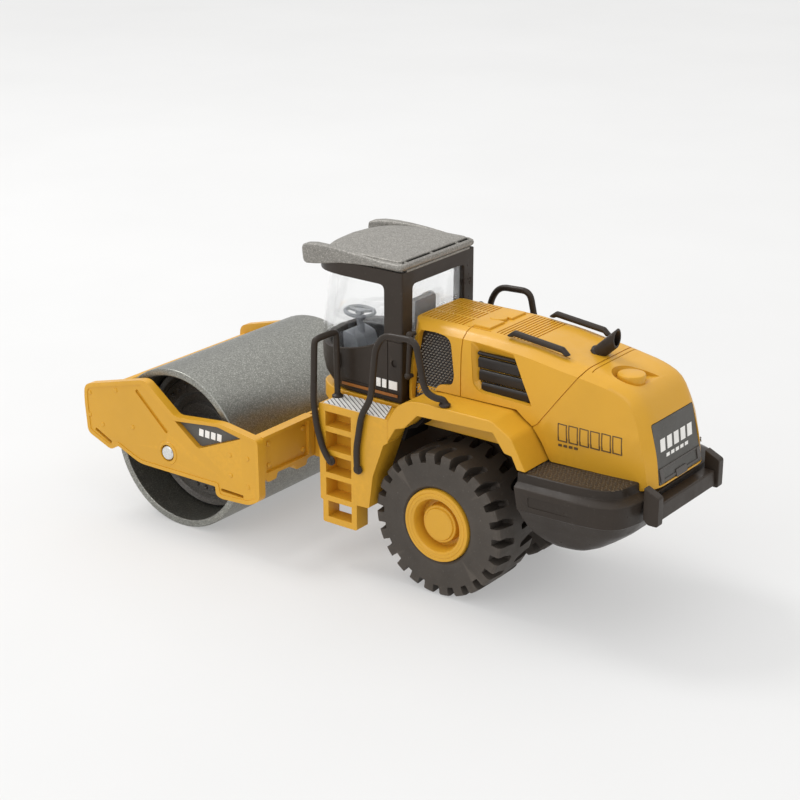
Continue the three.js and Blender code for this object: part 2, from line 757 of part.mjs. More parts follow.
const sidePanel = { from: -1.1, to: -0.2 };
const cowlFrame = panelFrame([hoodFrontHalf, cabRearY + gap, fenderZ], [3.8, 14.4, 0], [-0.13, 0, 1]);
const meshPoints = [
  [1.5, 0.6],
  [13.4, 0.9],
  [9.8, 11.8],
  [8.2, 12.6],
  [2.2, 13.4],
];
const flankFrame = panelFrame([hoodHalfWidth, axleY, fenderZ], [0, 1, 0], [-0.24, 0, 1]);
const louvrePoints = [
  [6, 2.8],
  [20.6, 3],
  [15, 11.7],
  [3, 12.4],
];
const rearFrame = panelFrame([0, axleY + hoodRearReach, treadZ - 1.2], [-1, 0, 0], [0, -0.17, 1]);
const rearPoints = [
  [-9.6, 0.6],
  [9.6, 0.6],
  [9.6, 14.8],
  [-9.6, 14.8],
];
const holeDepth = -4;
const pocketOf = (points, matrix) => panel(points, matrix, holeDepth, 3, gap);
const plateOf = (points, matrix) => panel(points, matrix, sidePanel.from, sidePanel.to);
const meshHole = pocketOf(meshPoints, cowlFrame);
const louvreHole = pocketOf(louvrePoints, flankFrame);

const capX = 4.4;
const capY = axleY + 42.6;
const capRadiusTop = 3.6;
const capFloorZ = hoodZ - 6.6;
const capHole = cylinder(capRadiusTop + gap, 8, place(capX, capY, capFloorZ - gap + 4), 24);

const exhaustLean = 0.82; // from the vertical, to the rear
const exhaustRadius = 1.85;
const exhaustFoot = [0, axleY + 30.4, hoodZ - 3.5];
const exhaustTurn = new THREE.Matrix4().makeRotationX(-exhaustLean).setPosition(...exhaustFoot);
const exhaustSunk = 2; // length of pipe inside the hood
const exhaustHoleSpot = exhaustTurn.clone().multiply(place(0, 0, 5 - exhaustSunk - gap));
const exhaustHole = cylinder(exhaustRadius + gap, 10, exhaustHoleSpot, 20);

const hood = cut(
  hoodFull,
  meshHole,
  mirrored(meshHole),
  louvreHole,
  mirrored(louvreHole),
  pocketOf(rearPoints, rearFrame),
  solid(capHole),
  solid(exhaustHole),
);
addMesh("hood", hood, yellow);
addPair("mesh_panel", plateOf(meshPoints, cowlFrame), black);
addPair("louvre", plateOf(louvrePoints, flankFrame), black);
addMesh("rear_panel", plateOf(rearPoints, rearFrame), darkInlay);
addMesh("fuel_cap", solid(cylinder(capRadiusTop, 2.4, place(capX, capY, capFloorZ + 1.2), 24)), yellow);

const exhaustLength = 11;
const exhaustPipe = cylinder(
  exhaustRadius,
  exhaustLength,
  exhaustTurn.clone().multiply(place(0, 0, exhaustLength / 2 - exhaustSunk)),
  20,
);
const exhaustBore = cylinder(
  exhaustRadius - 0.5,
  4,
  exhaustTurn.clone().multiply(place(0, 0, exhaustLength - 2)),
  16,
);
addMesh("exhaust_pipe", cut(solid(exhaustPipe), solid(exhaustBore)), black);

// ---------------------------------------------------------------- rails
// Points are [x, along from the rear axle, above the deck].
const railPath = (points) => points.map(([x, a, b]) => [x, axleY + a, deckZ + b]);
const ladderLean = archFront - ladderLength; // the front edge of the ladder
const footX = ladderOuterX + gap;
const footPad = (y, z) => solid(prism("x", circle(y, z, 1.2), footX, railX + 0.3));
const frontRail = railPath([
  [railX, ladderLean + 4.4, -14.7],
  [railX, ladderLean + 3.6, -14],
  [railX, ladderLean + 2, -11.6],
  [railX, ladderLean + 0.2, -6.2],
  [railX, ladderLean - 0.7, 0.4],
  [railX, ladderLean - 0.2, 16],
  [18.5, ladderLean + 1.7, 17.4],
  [18.5, ladderLean + 1.9, gap],
]);
const frontPad = footPad(frontRail[0][1], frontRail[0][2]);
addPair("handrail_front", join(solid(rod(frontRail, railRadius, 1.4)), frontPad), black);

const rearRail = railPath([
  [railX, archFront - 2.9, -15],
  [railX, archFront - 3.1, -9.5],
  [railX, archFront - 1.4, 0.1],
  [railX, archFront + 1.6, 5],
  [railX, archFront + 3.1, 18.6],
  [railX, archFront + 5.8, 22.4],
  [railX, archFront + 15.4, 22.7],
  [railX, archFront + 18, 10.6],
  [railX - 0.6, archFront + 20.6, 9.2],
  [railX - 1.8, archFront + 22.4, 8.9],
  [railX - 1.9, archFront + 22.6, fenderRise + gap],
]);
const rearPad = footPad(rearRail[0][1], rearRail[0][2]);
addPair("handrail_rear", join(solid(rod(rearRail, railRadius, 1.6)), rearPad), black);

const grabX = hoodFrontHalf + 3.6;
const grabRail = railPath([
  [grabX - 2.2, -13.4, 20.1],
  [grabX, -13.6, 20.1],
  [grabX, -14, 9.1],
  [grabX - 1.6, -13.7, 9.1],
]);
addPair("grab_bar", solid(rod(grabRail, 0.7, 1.2)), black);

const hoodRail = railPath([
  [hoodRailX, 11.9, hoodRise - 0.1],
  [hoodRailX, 12.1, hoodRise + 1],
  [hoodRailX, 27.9, hoodRise - 0.7],
  [hoodRailX, 28.3, hoodRise - 1.8],
]);
addPair("hood_rail", solid(rod(hoodRail, railRadius, 1.2)), black);

// ---------------------------------------------------------------- cab
const cabRing = (outer, inner, from, to) =>
  cut(solid(prism("z", cabPlan(outer), from, to)), solid(prism("z", cabPlan(inner), from - 1, to + 1)));
const tubTop = cabZ + tubHeight;
const tub = join(
  cabRing(0, cabWall, cabZ, tubTop),
  solid(prism("z", cabPlan(0.2), cabZ, cabZ + cabWall)),
);
addMesh("cab_tub", tub, black);

const headerHeight = 2.8;
const pillarOuter = cabRing(0, cabWall, tubTop + gap, headerZ);
const pillarKeep = join(
  solid(box(-cabHalfWidth - 1, cabHalfWidth + 1, cabFrontY - 1, cabRearY + 1, headerZ - headerHeight, headerZ)),
  ...[-1, 1].map((side) =>
    solid(
      box(
        Math.min(side * (cabHalfWidth - 5.2), side * (cabHalfWidth + 1)),
        Math.max(side * (cabHalfWidth - 5.2), side * (cabHalfWidth + 1)),
        cabRearY - pillarWidth,
        cabRearY + 1,
        tubTop,
        headerZ,
      ),
    ),
  ),
);
addMesh("cab_frame", common(pillarOuter, pillarKeep), black);

// The glass is tucked inside the tub, header and posts, and bows out to their line in front of the posts.
const glassInset = cabWall + gap;
const glassBack = glassInset + glassWall;
const bowInset = 0.2;
const bowFrom = tubTop + gap;
const bowTo = headerZ - headerHeight - gap;
const bowRearY = cabRearY - pillarWidth - 1;
const bowRoom = box(-cabHalfWidth, cabHalfWidth, cabFrontY, bowRearY, bowFrom + glassWall, bowTo - glassWall);
const bow = common(
  cabRing(bowInset, bowInset + glassWall, bowFrom, bowTo),
  solid(box(-cabHalfWidth, cabHalfWidth, cabFrontY, bowRearY + glassWall, bowFrom, bowTo)),
);
const bowEdges = cut(
  common(
    cabRing(bowInset, glassBack, bowFrom, bowTo),
    solid(box(-cabHalfWidth, cabHalfWidth, cabFrontY, bowRearY + glassWall, bowFrom, bowTo)),
  ),
  solid(bowRoom),
);
const tucked = cut(cabRing(glassInset, glassBack, cabZ + cabWall + gap, headerZ - gap), solid(bowRoom));
const glass = join(tucked, bow, bowEdges);
addMesh("cab_glass", glass, clear);

// The roof is a flat cap whose sides run forward as two horns.
const roofHalf = cabHalfWidth + roofOverhang;
const roofZ = headerZ + gap;
const roofRearY = cabRearY + roofOverhang - 0.2;
const roofFrontY = cabFrontY + 1;
const hornReach = 2;
const roofCap = outline([
  [roofHalf, roofRearY, 1],
  [roofHalf, cabRearY - 20],
  [roofHalf - 0.9, roofFrontY + 4],
  [hoodTopHalf, roofFrontY + 0.8, 3],
  [-hoodTopHalf, roofFrontY + 0.8, 3],
  [-roofHalf + 0.9, roofFrontY + 4],
  [-roofHalf, cabRearY - 20],
  [-roofHalf, roofRearY, 1],
]);
const hornPlan = outline([
  [roofHalf, cabRearY - 14],
  [roofHalf, cabRearY - 20],
  [roofHalf - 2.8, roofFrontY - hornReach, 0.5],
  [roofHalf - 4.2, roofFrontY - hornReach + 0.6, 0.5],
  [roofHalf - 1.6, cabRearY - 20],
  [roofHalf - 1.6, cabRearY - 14],
]);
const hornSide = outline([
  [cabRearY - 12, roofZ + 0.2],
  [cabRearY - 12, roofZ + roofThickness],
  [roofFrontY - 0.5, roofZ + roofThickness + 0.4, 1.5],
  [roofFrontY - hornReach - 1, roofZ + roofThickness - 1.2],
  [roofFrontY - hornReach - 1, roofZ - roofHornDrop],
  [roofFrontY + 3.4, roofZ - roofHornDrop + 0.4],
]);
const horn = common(
  solid(prism("z", hornPlan, roofZ - 6, roofZ + 6)),
  solid(prism("x", hornSide, 0, roofHalf + 2)),
);
const cabClear = solid(prism("z", cabPlan(-gap), cabZ, headerZ + gap / 2));
const hornTrim = cut(horn, cabClear);
const roof = join(
  solid(prism("z", roofCap, roofZ, roofZ + roofThickness)),
  hornTrim,
  mirrored(hornTrim),
);
addMesh("roof", roof, metallicGrey);

// ---------------------------------------------------------------- cab interior
const innerInset = glassBack + gap;
const floorZ = cabZ + cabWall + gap;
const floor = solid(prism("z", cabPlan(innerInset), floorZ, floorZ + 1.5));
const consoleY = cabFrontY + 4.4;
const consoleSide = outline([
  [consoleY - 0.2, floorZ + 1],
  [consoleY + 6.2, floorZ + 1],
  [consoleY + 3.6, floorZ + 8.4, 1],
  [consoleY - 0.6, floorZ + 9.6, 1],
]);
const columnTop = [0, cabFrontY + 6.2, floorZ + 12.8];
const column = rod([[0, columnTop[1] + 0.6, floorZ + 7], columnTop], 1, 1, 8);
addMesh(
  "cab_console",
  join(floor, solid(prism("x", consoleSide, -4.2, 4.2)), solid(column)),
  greyTrim,
);

const wheelTilt = -0.1;
const steeringRadius = 3.8;
const steeringSpot = new THREE.Matrix4().makeRotationX(wheelTilt).setPosition(0, columnTop[1], columnTop[2] + 1.2);
const steeringSpokes = [0, 1, 2].map((i) => {
  const spoke = box(0, steeringRadius, -0.45, 0.45, -0.35, 0.35);
  return solid(spoke.rotateZ(Math.PI / 6 + (i * 2 * Math.PI) / 3).applyMatrix4(steeringSpot));
});
const steeringRim = new THREE.TorusGeometry(steeringRadius, 0.55, 8, 24).applyMatrix4(steeringSpot);
const steeringHub = cylinder(1.2, 1, steeringSpot, 12);
addMesh("steering_wheel", join(solid(steeringRim), solid(steeringHub), ...steeringSpokes), greyTrim);

const seatRear = cabRearY - innerInset - 1;
const seatSide = outline([
  [seatRear - 10.4, floorZ + 1.5 + gap],
  [seatRear - 11, floorZ + 6.6, 1],
  [seatRear - 3.4, floorZ + 6, 1],
  [seatRear - 2.6, floorZ + 22, 1],
  [seatRear, floorZ + 22, 1],
  [seatRear - 0.4, floorZ + 1.5 + gap],
]);
addMesh("seat", solid(prism("x", seatSide, -4.4, 4.4)), greyTrim);

export default group;
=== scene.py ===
import json
import math

import bmesh
import bpy
from mathutils import Matrix, Vector
from mathutils.bvhtree import BVHTree


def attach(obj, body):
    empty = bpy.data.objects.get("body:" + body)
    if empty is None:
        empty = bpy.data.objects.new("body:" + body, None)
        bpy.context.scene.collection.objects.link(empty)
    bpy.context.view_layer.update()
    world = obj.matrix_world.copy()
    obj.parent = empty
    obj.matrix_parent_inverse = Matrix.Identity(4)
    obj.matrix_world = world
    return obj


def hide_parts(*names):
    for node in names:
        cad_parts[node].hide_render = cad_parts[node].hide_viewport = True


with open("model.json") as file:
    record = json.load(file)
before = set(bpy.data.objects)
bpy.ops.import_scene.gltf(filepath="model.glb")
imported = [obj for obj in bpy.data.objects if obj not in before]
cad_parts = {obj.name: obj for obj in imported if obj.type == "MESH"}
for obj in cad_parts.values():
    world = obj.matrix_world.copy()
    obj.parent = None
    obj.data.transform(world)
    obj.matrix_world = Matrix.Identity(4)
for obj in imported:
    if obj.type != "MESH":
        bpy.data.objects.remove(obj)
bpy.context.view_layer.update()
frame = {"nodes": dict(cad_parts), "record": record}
MM = 0.001

# ------------------------------------------------------------------ camera
back = Vector((0.7505, 0.5616, 0.3483)).normalized()
right = Vector((0, 0, 1)).cross(back).normalized()
up = back.cross(right)
cam_data = bpy.data.cameras.new("camera")
cam_data.lens = 84.55
cam_data.sensor_width = 36
cam_data.clip_start = 0.01
camera = bpy.data.objects.new("camera", cam_data)
turn = Matrix((right, up, back)).transposed().to_4x4()
camera.matrix_world = Matrix.Translation((0.36802, 0.27395, 0.21001)) @ turn
bpy.context.collection.objects.link(camera)
bpy.context.scene.camera = camera

# ------------------------------------------------------------------ main sizes, mm
# heights are above the ground; Y grows from the drum to the rear
AXLE_Y = 26.7
AXLE_Z = 19.0
DRUM_Y = -54.0
DRUM_Z = 22.3
DECK = 44.1
CAB_HALF = 15.5
CAB_REAR = 10.8
CAB_FRONT = -20.7


# ------------------------------------------------------------------ materials
def srgb(r, g, b):
    def lin(c):
        c /= 255
        return c / 12.92 if c <= 0.04045 else ((c + 0.055) / 1.055) ** 2.4
    return (lin(r), lin(g), lin(b), 1)


class Nodes:
    def __init__(self, name):
        self.mat = bpy.data.materials.new(name)
        self.mat.use_nodes = True
        self.tree = self.mat.node_tree
        self.bsdf = self.tree.nodes["Principled BSDF"]
        self.coords = self.tree.nodes.new("ShaderNodeTexCoord").outputs["Object"]

    def put(self, socket, value):
        if isinstance(value, bpy.types.NodeSocket):
            self.tree.links.new(value, socket)
        else:
            socket.default_value = value

    def times(self, a, b):
        return self.add("Math", {0: a, 1: b}, operation="MULTIPLY").outputs[0]

    def add(self, kind, inputs=None, **settings):
        node = self.tree.nodes.new("ShaderNode" + kind)
        for key, value in settings.items():
            setattr(node, key, value)
        for key, value in (inputs or {}).items():
            self.put(node.inputs[key], value)
        return node

    def noise(self, scale, detail=4, rough=0.6, stretch=None):
        coords = self.coords
        if stretch:
            coords = self.add("Mapping", {"Vector": coords, "Scale": stretch}).outputs["Vector"]
        return self.add(
            "TexNoise",
            {"Vector": coords, "Scale": scale, "Detail": detail, "Roughness": rough},
        ).outputs["Fac"]

    def ramp(self, fac, stops):
        node = self.add("ValToRGB", {"Fac": fac})
        elements = node.color_ramp.elements
        while len(elements) < len(stops):
            elements.new(0.5)
        for element, (pos, colour) in zip(elements, stops):
            element.position = pos
            element.color = colour
        return node.outputs["Color"]

    def spread(self, fac, low, high, start=0.3, end=0.7):
        return self.add(
            "MapRange",
            {"Value": fac, "From Min": start, "From Max": end, "To Min": low, "To Max": high},
        ).outputs["Result"]

    def mix(self, fac, a, b):
        node = self.add("Mix", data_type="RGBA")
        for key, value in ((0, fac), (6, a), (7, b)):
            self.put(node.inputs[key], value)
        return node.outputs[2]

    def edges(self, low, high):
        return self.spread(self.add("NewGeometry").outputs["Pointiness"], 0, 1, low, high)

    def bump(self, height, strength, distance=0.0002, normal=None):
        inputs = {"Height": height, "Strength": strength, "Distance": distance}
        if normal:
            inputs["Normal"] = normal
        return self.add("Bump", inputs).outputs["Normal"]

    def into(self, **sockets):
        for key, value in sockets.items():
            self.put(self.bsdf.inputs[key.replace("_", " ")], value)
        return self.mat


def shades(colour, *factors):
    return [tuple(min(1, c * f) for c in colour[:3]) + (1,) for f in factors]


def enamel(name, colour, rough=0.34):
    """Smooth paint, a little worn on its edges."""
    n = Nodes(name)
    cloud = n.noise(45, 3)
    low, mid, high = shades(colour, 0.93, 1.0, 1.05)
    base = n.ramp(cloud, [(0.25, low), (0.5, mid), (0.75, high)])
    worn = shades(colour, 1.18)[0]
    edge = n.times(n.edges(0.53, 0.62), n.spread(n.noise(900, 4), 0, 1, 0.35, 0.7))
    base = n.mix(n.times(edge, 0.5), base, worn)
    peel = n.bump(n.noise(1400, 2), 0.12, 0.00004)
    grime = n.bump(n.noise(160, 5), 0.1, 0.0002, peel)
    return n.into(
        Base_Color=base,
        Roughness=n.spread(n.noise(300, 5), rough - 0.05, rough + 0.12),
        Normal=grime,
        Coat_Weight=0.12,
        Coat_Roughness=0.15,
        Specular_IOR_Level=0.35,
    )


def sparkle_paint(name, colour, rough, metallic):
    """Grey paint with fine bright flakes."""
    n = Nodes(name)
    cloud = n.noise(30, 4)
    low, mid, high = shades(colour, 0.94, 1.0, 1.06)
    base = n.ramp(cloud, [(0.25, low), (0.5, mid), (0.75, high)])
    flake = n.add("TexVoronoi", {"Vector": n.coords, "Scale": 4600.0}, feature="F1").outputs["Color"]
    fleck = n.add("SeparateColor", {"Color": flake}).outputs[0]
    dull, plain, bright, glint = shades(colour, 0.6, 1.0, 1.4, 2.2)
    grains = n.ramp(fleck, [(0.0, dull), (0.45, plain), (0.85, bright), (1.0, glint)])
    base = n.mix(0.65, base, grains)
    grain = n.bump(n.noise(3600, 3), 0.2, 0.00003)
    return n.into(
        Base_Color=base,
        Metallic=metallic,
        Roughness=n.spread(n.noise(700, 4), rough - 0.06, rough + 0.1),
        Normal=grain,
    )


def plastic(name, colour, rough=0.4, grain=0.2, dust=0.0, shine=0.4):
    n = Nodes(name)
    cloud = n.noise(70, 5)
    low, mid, high = shades(colour, 0.82, 1.0, 1.2)
    base = n.ramp(cloud, [(0.25, low), (0.5, mid), (0.8, high)])
    # sharp edges are painted lighter: a painted highlight along every edge, standing for light caught on them
    edge_highlight = shades(colour, 2.1)[0]
    base = n.mix(n.times(n.edges(0.52, 0.6), 0.35), base, edge_highlight)
    if dust:
        specks = n.spread(n.noise(1200, 6, 0.7), 0, dust, 0.6, 0.75)
        base = n.mix(specks, base, srgb(150, 145, 138))
    texture = n.bump(n.noise(1600, 4), grain, 0.00008)
    return n.into(
        Base_Color=base,
        Roughness=n.spread(n.noise(260, 5), rough - 0.08, rough + 0.12),
        Normal=texture,
        Specular_IOR_Level=shine,
    )


def metal(name, colour, rough=0.25):
    n = Nodes(name)
    turned = n.noise(220, 3, 0.5, (1, 12, 12))
    low, high = shades(colour, 0.85, 1.08)
    return n.into(
        Base_Color=n.ramp(turned, [(0.3, low), (0.7, high)]),
        Metallic=1.0,
        Roughness=n.spread(n.noise(900, 4), rough - 0.05, rough + 0.12),
        Normal=n.bump(turned, 0.15, 0.00003),
    )


def clear(name):
    n = Nodes(name)
    ripple = n.bump(n.noise(120, 2), 0.06, 0.0002)
    return n.into(
        Base_Color=(0.95, 0.97, 0.97, 1),
        Roughness=n.spread(n.noise(400, 4), 0.02, 0.05),
        Normal=ripple,
        IOR=1.2,
        Transmission_Weight=1.0,
        Alpha=0.2,
    )


YELLOW = enamel("yellow_enamel", srgb(211, 157, 42))
GREY_PAINT = sparkle_paint("sparkle_grey", srgb(138, 138, 132), 0.36, 0.85)
ROOF_PAINT = sparkle_paint("roof_grey", srgb(136, 133, 127), 0.5, 0.35)
BLACK = plastic("black_moulded", srgb(50, 43, 37), 0.34, 0.14, 0.12, 0.22)
GLOSS = plastic("black_glossy", srgb(60, 54, 49), 0.18, 0.05, 0, 0.5)
# mesh beads coloured mid-grey as a painted highlight, standing for the bright glints on the dark beads
BEAD_HIGHLIGHT_GREY = plastic("bead_painted_highlight", srgb(128, 124, 118), 0.3, 0.1)
SLAT = plastic("black_slat", srgb(30, 25, 22), 0.34, 0.12)
# near-black: the dark lines under the deck hatch print, and painted shade on the wheel-well sheet
DARK_PRINT_AND_SHADE = plastic("black_print_and_painted_shade", srgb(22, 19, 17), 0.7, 0.3, 0, 0.15)
RUBBER = plastic("tyre_rubber", srgb(72, 66, 60), 0.6, 0.25, 0.25, 0.3)
STEEL = metal("turned_steel", srgb(222, 222, 220))
HATCH = plastic("deck_silver", srgb(206, 203, 196), 0.36, 0.25)
# the drum's grey paint made darker: painted shade for the shadow the discs sit in
DISC_SHADED_GREY = sparkle_paint("disc_grey_painted_shade", srgb(92, 89, 85), 0.42, 0.3)
TREAD = plastic("tread_grip", srgb(74, 62, 46), 0.45, 0.25)
INLAY = plastic("grey_inlay", srgb(78, 76, 72), 0.5, 0.35, 0.4)
TRIM = plastic("cab_grey", srgb(150, 153, 158), 0.5, 0.25)
ORANGE = enamel("orange_line", srgb(150, 92, 34), 0.4)
MARK = plastic("print_brown", srgb(74, 56, 34), 0.5, 0.1)
PALE = plastic("print_pale", srgb(236, 232, 224), 0.5, 0.1)
CLEAR = clear("clear_cab")


# ------------------------------------------------------------------ mesh helpers, all in mm
def rounded(before, corner, after, radius, steps):
    """The points of a round bend at corner."""
    back_, ahead = before - corner, after - corner
    first = corner + back_.normalized() * min(radius, back_.length * 0.48)
    last = corner + ahead.normalized() * min(radius, ahead.length * 0.48)
    shares = [k / steps for k in range(steps + 1)]
    return [first * (1 - t) ** 2 + corner * 2 * t * (1 - t) + last * t * t for t in shares]


def outline(points, steps=5):
    """Rounds the corners of [a, b] or [a, b, radius] points."""
    out = []
    for i, point in enumerate(points):
        corner = Vector(point[:2])
        if len(point) < 3:
            out.append(corner)
            continue
        after = points[(i + 1) % len(points)]
        out += rounded(Vector(points[i - 1][:2]), corner, Vector(after[:2]), point[2], steps)
    return out


PLACES = {
    "x": lambda a, b, c: Vector((c, a, b)),
    "y": lambda a, b, c: Vector((a, c, b)),
    "z": lambda a, b, c: Vector((a, b, c)),
}


def finish_mesh(bm, matrix=None):
    if matrix:
        bm.transform(matrix)
    bmesh.ops.scale(bm, vec=(MM, MM, MM), verts=bm.verts)
    bmesh.ops.recalc_face_normals(bm, faces=bm.faces)
    return bm


def prism(axis, points, low, high, matrix=None):
    """An outline pushed along an axis."""
    return loft([[PLACES[axis](p[0], p[1], level) for p in points] for level in (low, high)], matrix)


def box(x0, x1, y0, y1, z0, z1, matrix=None):
    return prism("z", ((x0, y0), (x1, y0), (x1, y1), (x0, y1)), z0, z1, matrix)


def skinned(rings, closed, around):
    """Faces between equal-length rings of points; around joins the last ring to the first."""
    bm = bmesh.new()
    made = [[bm.verts.new(p) for p in ring] for ring in rings]
    count = len(rings[0])
    for a, b in zip(made, made[1:] + made[:1] if around else made[1:]):
        for i in range(count if closed else count - 1):
            j = (i + 1) % count
            bm.faces.new((a[i], a[j], b[j], b[i]))
    return bm, made


def loft(rings, matrix=None):
    """Skins rings of points and closes both ends."""
    bm, made = skinned(rings, True, False)
    bm.faces.new(made[0][::-1])
    bm.faces.new(made[-1])
    return finish_mesh(bm, matrix)


def lathe(profile, centre, axis="x", steps=96, closed=False):
    """Turns [along, radius] points about an axis through centre."""
    rings = []
    for k in range(steps):
        angle = 2 * math.pi * k / steps
        ring = []
        for along, radius in profile:
            u, v = radius * math.cos(angle), radius * math.sin(angle)
            spot = {"x": (along, u, v), "y": (u, along, v), "z": (u, v, along)}[axis]
            ring.append(Vector(spot) + Vector(centre))
        rings.append(ring)
    bm = skinned(rings, closed, True)[0]
    bmesh.ops.remove_doubles(bm, verts=bm.verts, dist=1e-5)
    bmesh.ops.dissolve_degenerate(bm, edges=bm.edges, dist=1e-6)
    return finish_mesh(bm)


def rod(points, radius, bend=2.0, sides=16):
    """A round rod through corner points, each bend rounded."""
    corners = [Vector(p) for p in points]
    path = [corners[0]]
    for before, corner, after in zip(corners, corners[1:], corners[2:]):
        path += rounded(before, corner, after, bend, 6)
    path.append(corners[-1])
    side = None
    rings = []
    for i, p in enumerate(path):
        ahead = (path[min(i + 1, len(path) - 1)] - path[max(i - 1, 0)]).normalized()
        side = side or ahead.orthogonal().normalized()
        side = (side - ahead * side.dot(ahead)).normalized()
        other = ahead.cross(side)
        scale = 0.9 if i in (0, len(path) - 1) else 1
        rings.append([
            p + (side * math.cos(a) + other * math.sin(a)) * radius * scale
            for a in (2 * math.pi * k / sides for k in range(sides))
        ])
    return loft(rings)


def mesh_object(name, bm, material):
    mesh = bpy.data.meshes.new(name)
    bm.to_mesh(mesh)
    bm.free()
    ob = bpy.data.objects.new(name, mesh)
    bpy.context.collection.objects.link(ob)
    mesh.materials.append(material)
    return ob


def from_saved(mesh):
    bm = bmesh.new()
    bm.from_mesh(mesh)
    return bm


def saved(bm):
    mesh = bpy.data.meshes.new("saved")
    bm.to_mesh(mesh)
    bm.free()
    return mesh


def taken(ob):
    """The object's mesh as a bmesh; the object goes."""
    bm = from_saved(ob.data)
    bpy.data.objects.remove(ob, do_unlink=True)
    return bm


def apply_modifiers(ob):
    bpy.context.view_layer.update()
    graph = bpy.context.evaluated_depsgraph_get()
    mesh = bpy.data.meshes.new_from_object(ob.evaluated_get(graph))
    old = ob.data
    ob.modifiers.clear()
    ob.data = mesh
    bpy.data.meshes.remove(old)
    return ob


def boolean(ob, bm, operation="DIFFERENCE", overlapping=False):
    cutter = mesh_object("cutter", bm, ob.data.materials[0])
    modifier = ob.modifiers.new("cut", "BOOLEAN")
    modifier.operation = operation
    modifier.solver = "EXACT"
    modifier.use_self = overlapping
    modifier.object = cutter
    apply_modifiers(ob)
    bpy.data.objects.remove(cutter, do_unlink=True)
    return ob


def soften(ob, width, segments, angle, smooth_angle, dissolve):
    """Bevels the edges and keeps flat faces flat."""
    bm = from_saved(ob.data)
    bmesh.ops.remove_doubles(bm, verts=bm.verts, dist=1e-6)
    if dissolve:
        bmesh.ops.dissolve_limit(bm, angle_limit=math.radians(1.5), verts=bm.verts, edges=bm.edges)
    bm.to_mesh(ob.data)
    bm.free()
    if width:
        modifier = ob.modifiers.new("bevel", "BEVEL")
        modifier.width = width * MM
        modifier.segments = segments
        modifier.limit_method = "ANGLE"
        modifier.angle_limit = math.radians(angle)
        modifier.use_clamp_overlap = True
        apply_modifiers(ob)
    bm = from_saved(ob.data)
    bmesh.ops.dissolve_degenerate(bm, edges=bm.edges, dist=2e-6)
    bm.to_mesh(ob.data)
    bm.free()
    for polygon in ob.data.polygons:
        polygon.use_smooth = True
    ob.data.set_sharp_from_angle(angle=math.radians(smooth_angle))
    weighted = ob.modifiers.new("weighted", "WEIGHTED_NORMAL")
    weighted.mode = "FACE_AREA"
    weighted.weight = 80
    weighted.keep_sharp = True
    return apply_modifiers(ob)


def piece(name, bm, material, body, *nodes, bevel=0.25, segments=2, angle=28, dissolve=True):
    ob = mesh_object(name, bm, material) if isinstance(bm, bmesh.types.BMesh) else bm
    soften(ob, bevel, segments, angle, 35 if dissolve else 20, dissolve)
    return declare(ob, material, body, *nodes)


def declare(ob, material, body, *nodes):
    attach(ob, body)
    present = [n for n in nodes if n in frame["nodes"]]
    if present:
        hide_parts(*present)
    return ob


def skin(node, material, bevel):
    """The CAD solid with its edges rounded and a finished material."""
    ob = bpy.data.objects.new(node + "_skin", frame["nodes"][node].data.copy())
    ob.data.materials.clear()
    ob.data.materials.append(material)
    bpy.context.collection.objects.link(ob)
    body = next(b for b, names in frame["record"]["behaviour"]["bodies"].items() if node in names)
    piece(ob.name, ob, material, body, node, bevel=bevel)


# ------------------------------------------------------------------ carried-over CAD pieces
MADE_HERE = ("hood", "mesh_panel", "louvre", "rear_panel", "fuel_cap", "exhaust_pipe", "frame_", "tyre",
             "rim_",
             "drum_disc", "drum_axle", "cab_tub", "cab_frame", "cab_glass", "counterweight", "handrail",
             "grab_bar",
             "roof")
for node in frame["nodes"]:
    if node.startswith(MADE_HERE) and not node.startswith("hood_rail"):
        continue
    if node.startswith("drum_shell"):
        skin(node, GREY_PAINT, 0.4)
    elif node.startswith(("pivot_pin", "base_screw", "rear_axle")):
        skin(node, STEEL, 0.15)
    elif node.startswith(("cab_console", "steering_wheel", "seat")):
        skin(node, TRIM, 0.3)
    elif node.startswith(("hitch_", "cab_platform", "ladder_", "fender_")):
        skin(node, YELLOW, 0.3)
    else:
        skin(node, BLACK, 0.25)


# ------------------------------------------------------------------ hood
def along(points, value, key=0, other=1):
    """Linear lookup in a list of points."""
    for p, q in zip(points, points[1:]):
        if p[key] <= value <= q[key]:
            t = (value - p[key]) / max(1e-9, q[key] - p[key])
            return p[other] + (q[other] - p[other]) * t
    return points[0][other] if value < points[0][key] else points[-1][other]


# (behind the axle, height)
HOOD_TOP = outline([
    (-15.6, 67.3), (8, 67.25, 3), (20, 66.4, 4), (28, 65.1, 4), (36, 63.9, 4),
    (43.5, 62.4, 3), (48.6, 60.2, 2.6), (51.6, 54.6, 2), (54.1, 46.2, 3), (55.1, 39.0),
], 6)
HOOD_FOOT = [(-15.6, 46.6), (-12.4, 47.2), (-8, 51.3), (18, 51.6), (22.6, 48.6), (25.2, 45.0), (27.5, 40.4),
             (42, 40.2), (48, 36.4)]
FAN = Vector((18, 30))


def hood_side(y, z):
    """Half width of the hood, y behind the axle."""
    wide = along([(36, 14.7), (40, 15), (50, 15.6), (57, 14.4), (65, 12.6), (68, 11.6)], z)
    if y > 22:
        t = (y - 22) / 33
        wide *= 1 - 0.17 * t ** 1.3
    if y < -11.6:
        t = (-11.6 - y) / 4
        wide -= 2.6 * t * t
    return wide


def crossing(points, origin, direction):
    """Where a ray meets a line of points."""
    for p, q in zip(points, points[1:]):
        p, q = Vector(p[:2]), Vector(q[:2])
        edge = q - p
        cross = direction.x * edge.y - direction.y * edge.x
        if abs(cross) < 1e-9:
            continue
        diff = p - origin
        reach = (diff.x * edge.y - diff.y * edge.x) / cross
        share = (diff.x * direction.y - diff.y * direction.x) / cross
        if reach > 0 and -1e-6 <= share <= 1 + 1e-6:
            return origin + direction * reach
    return None


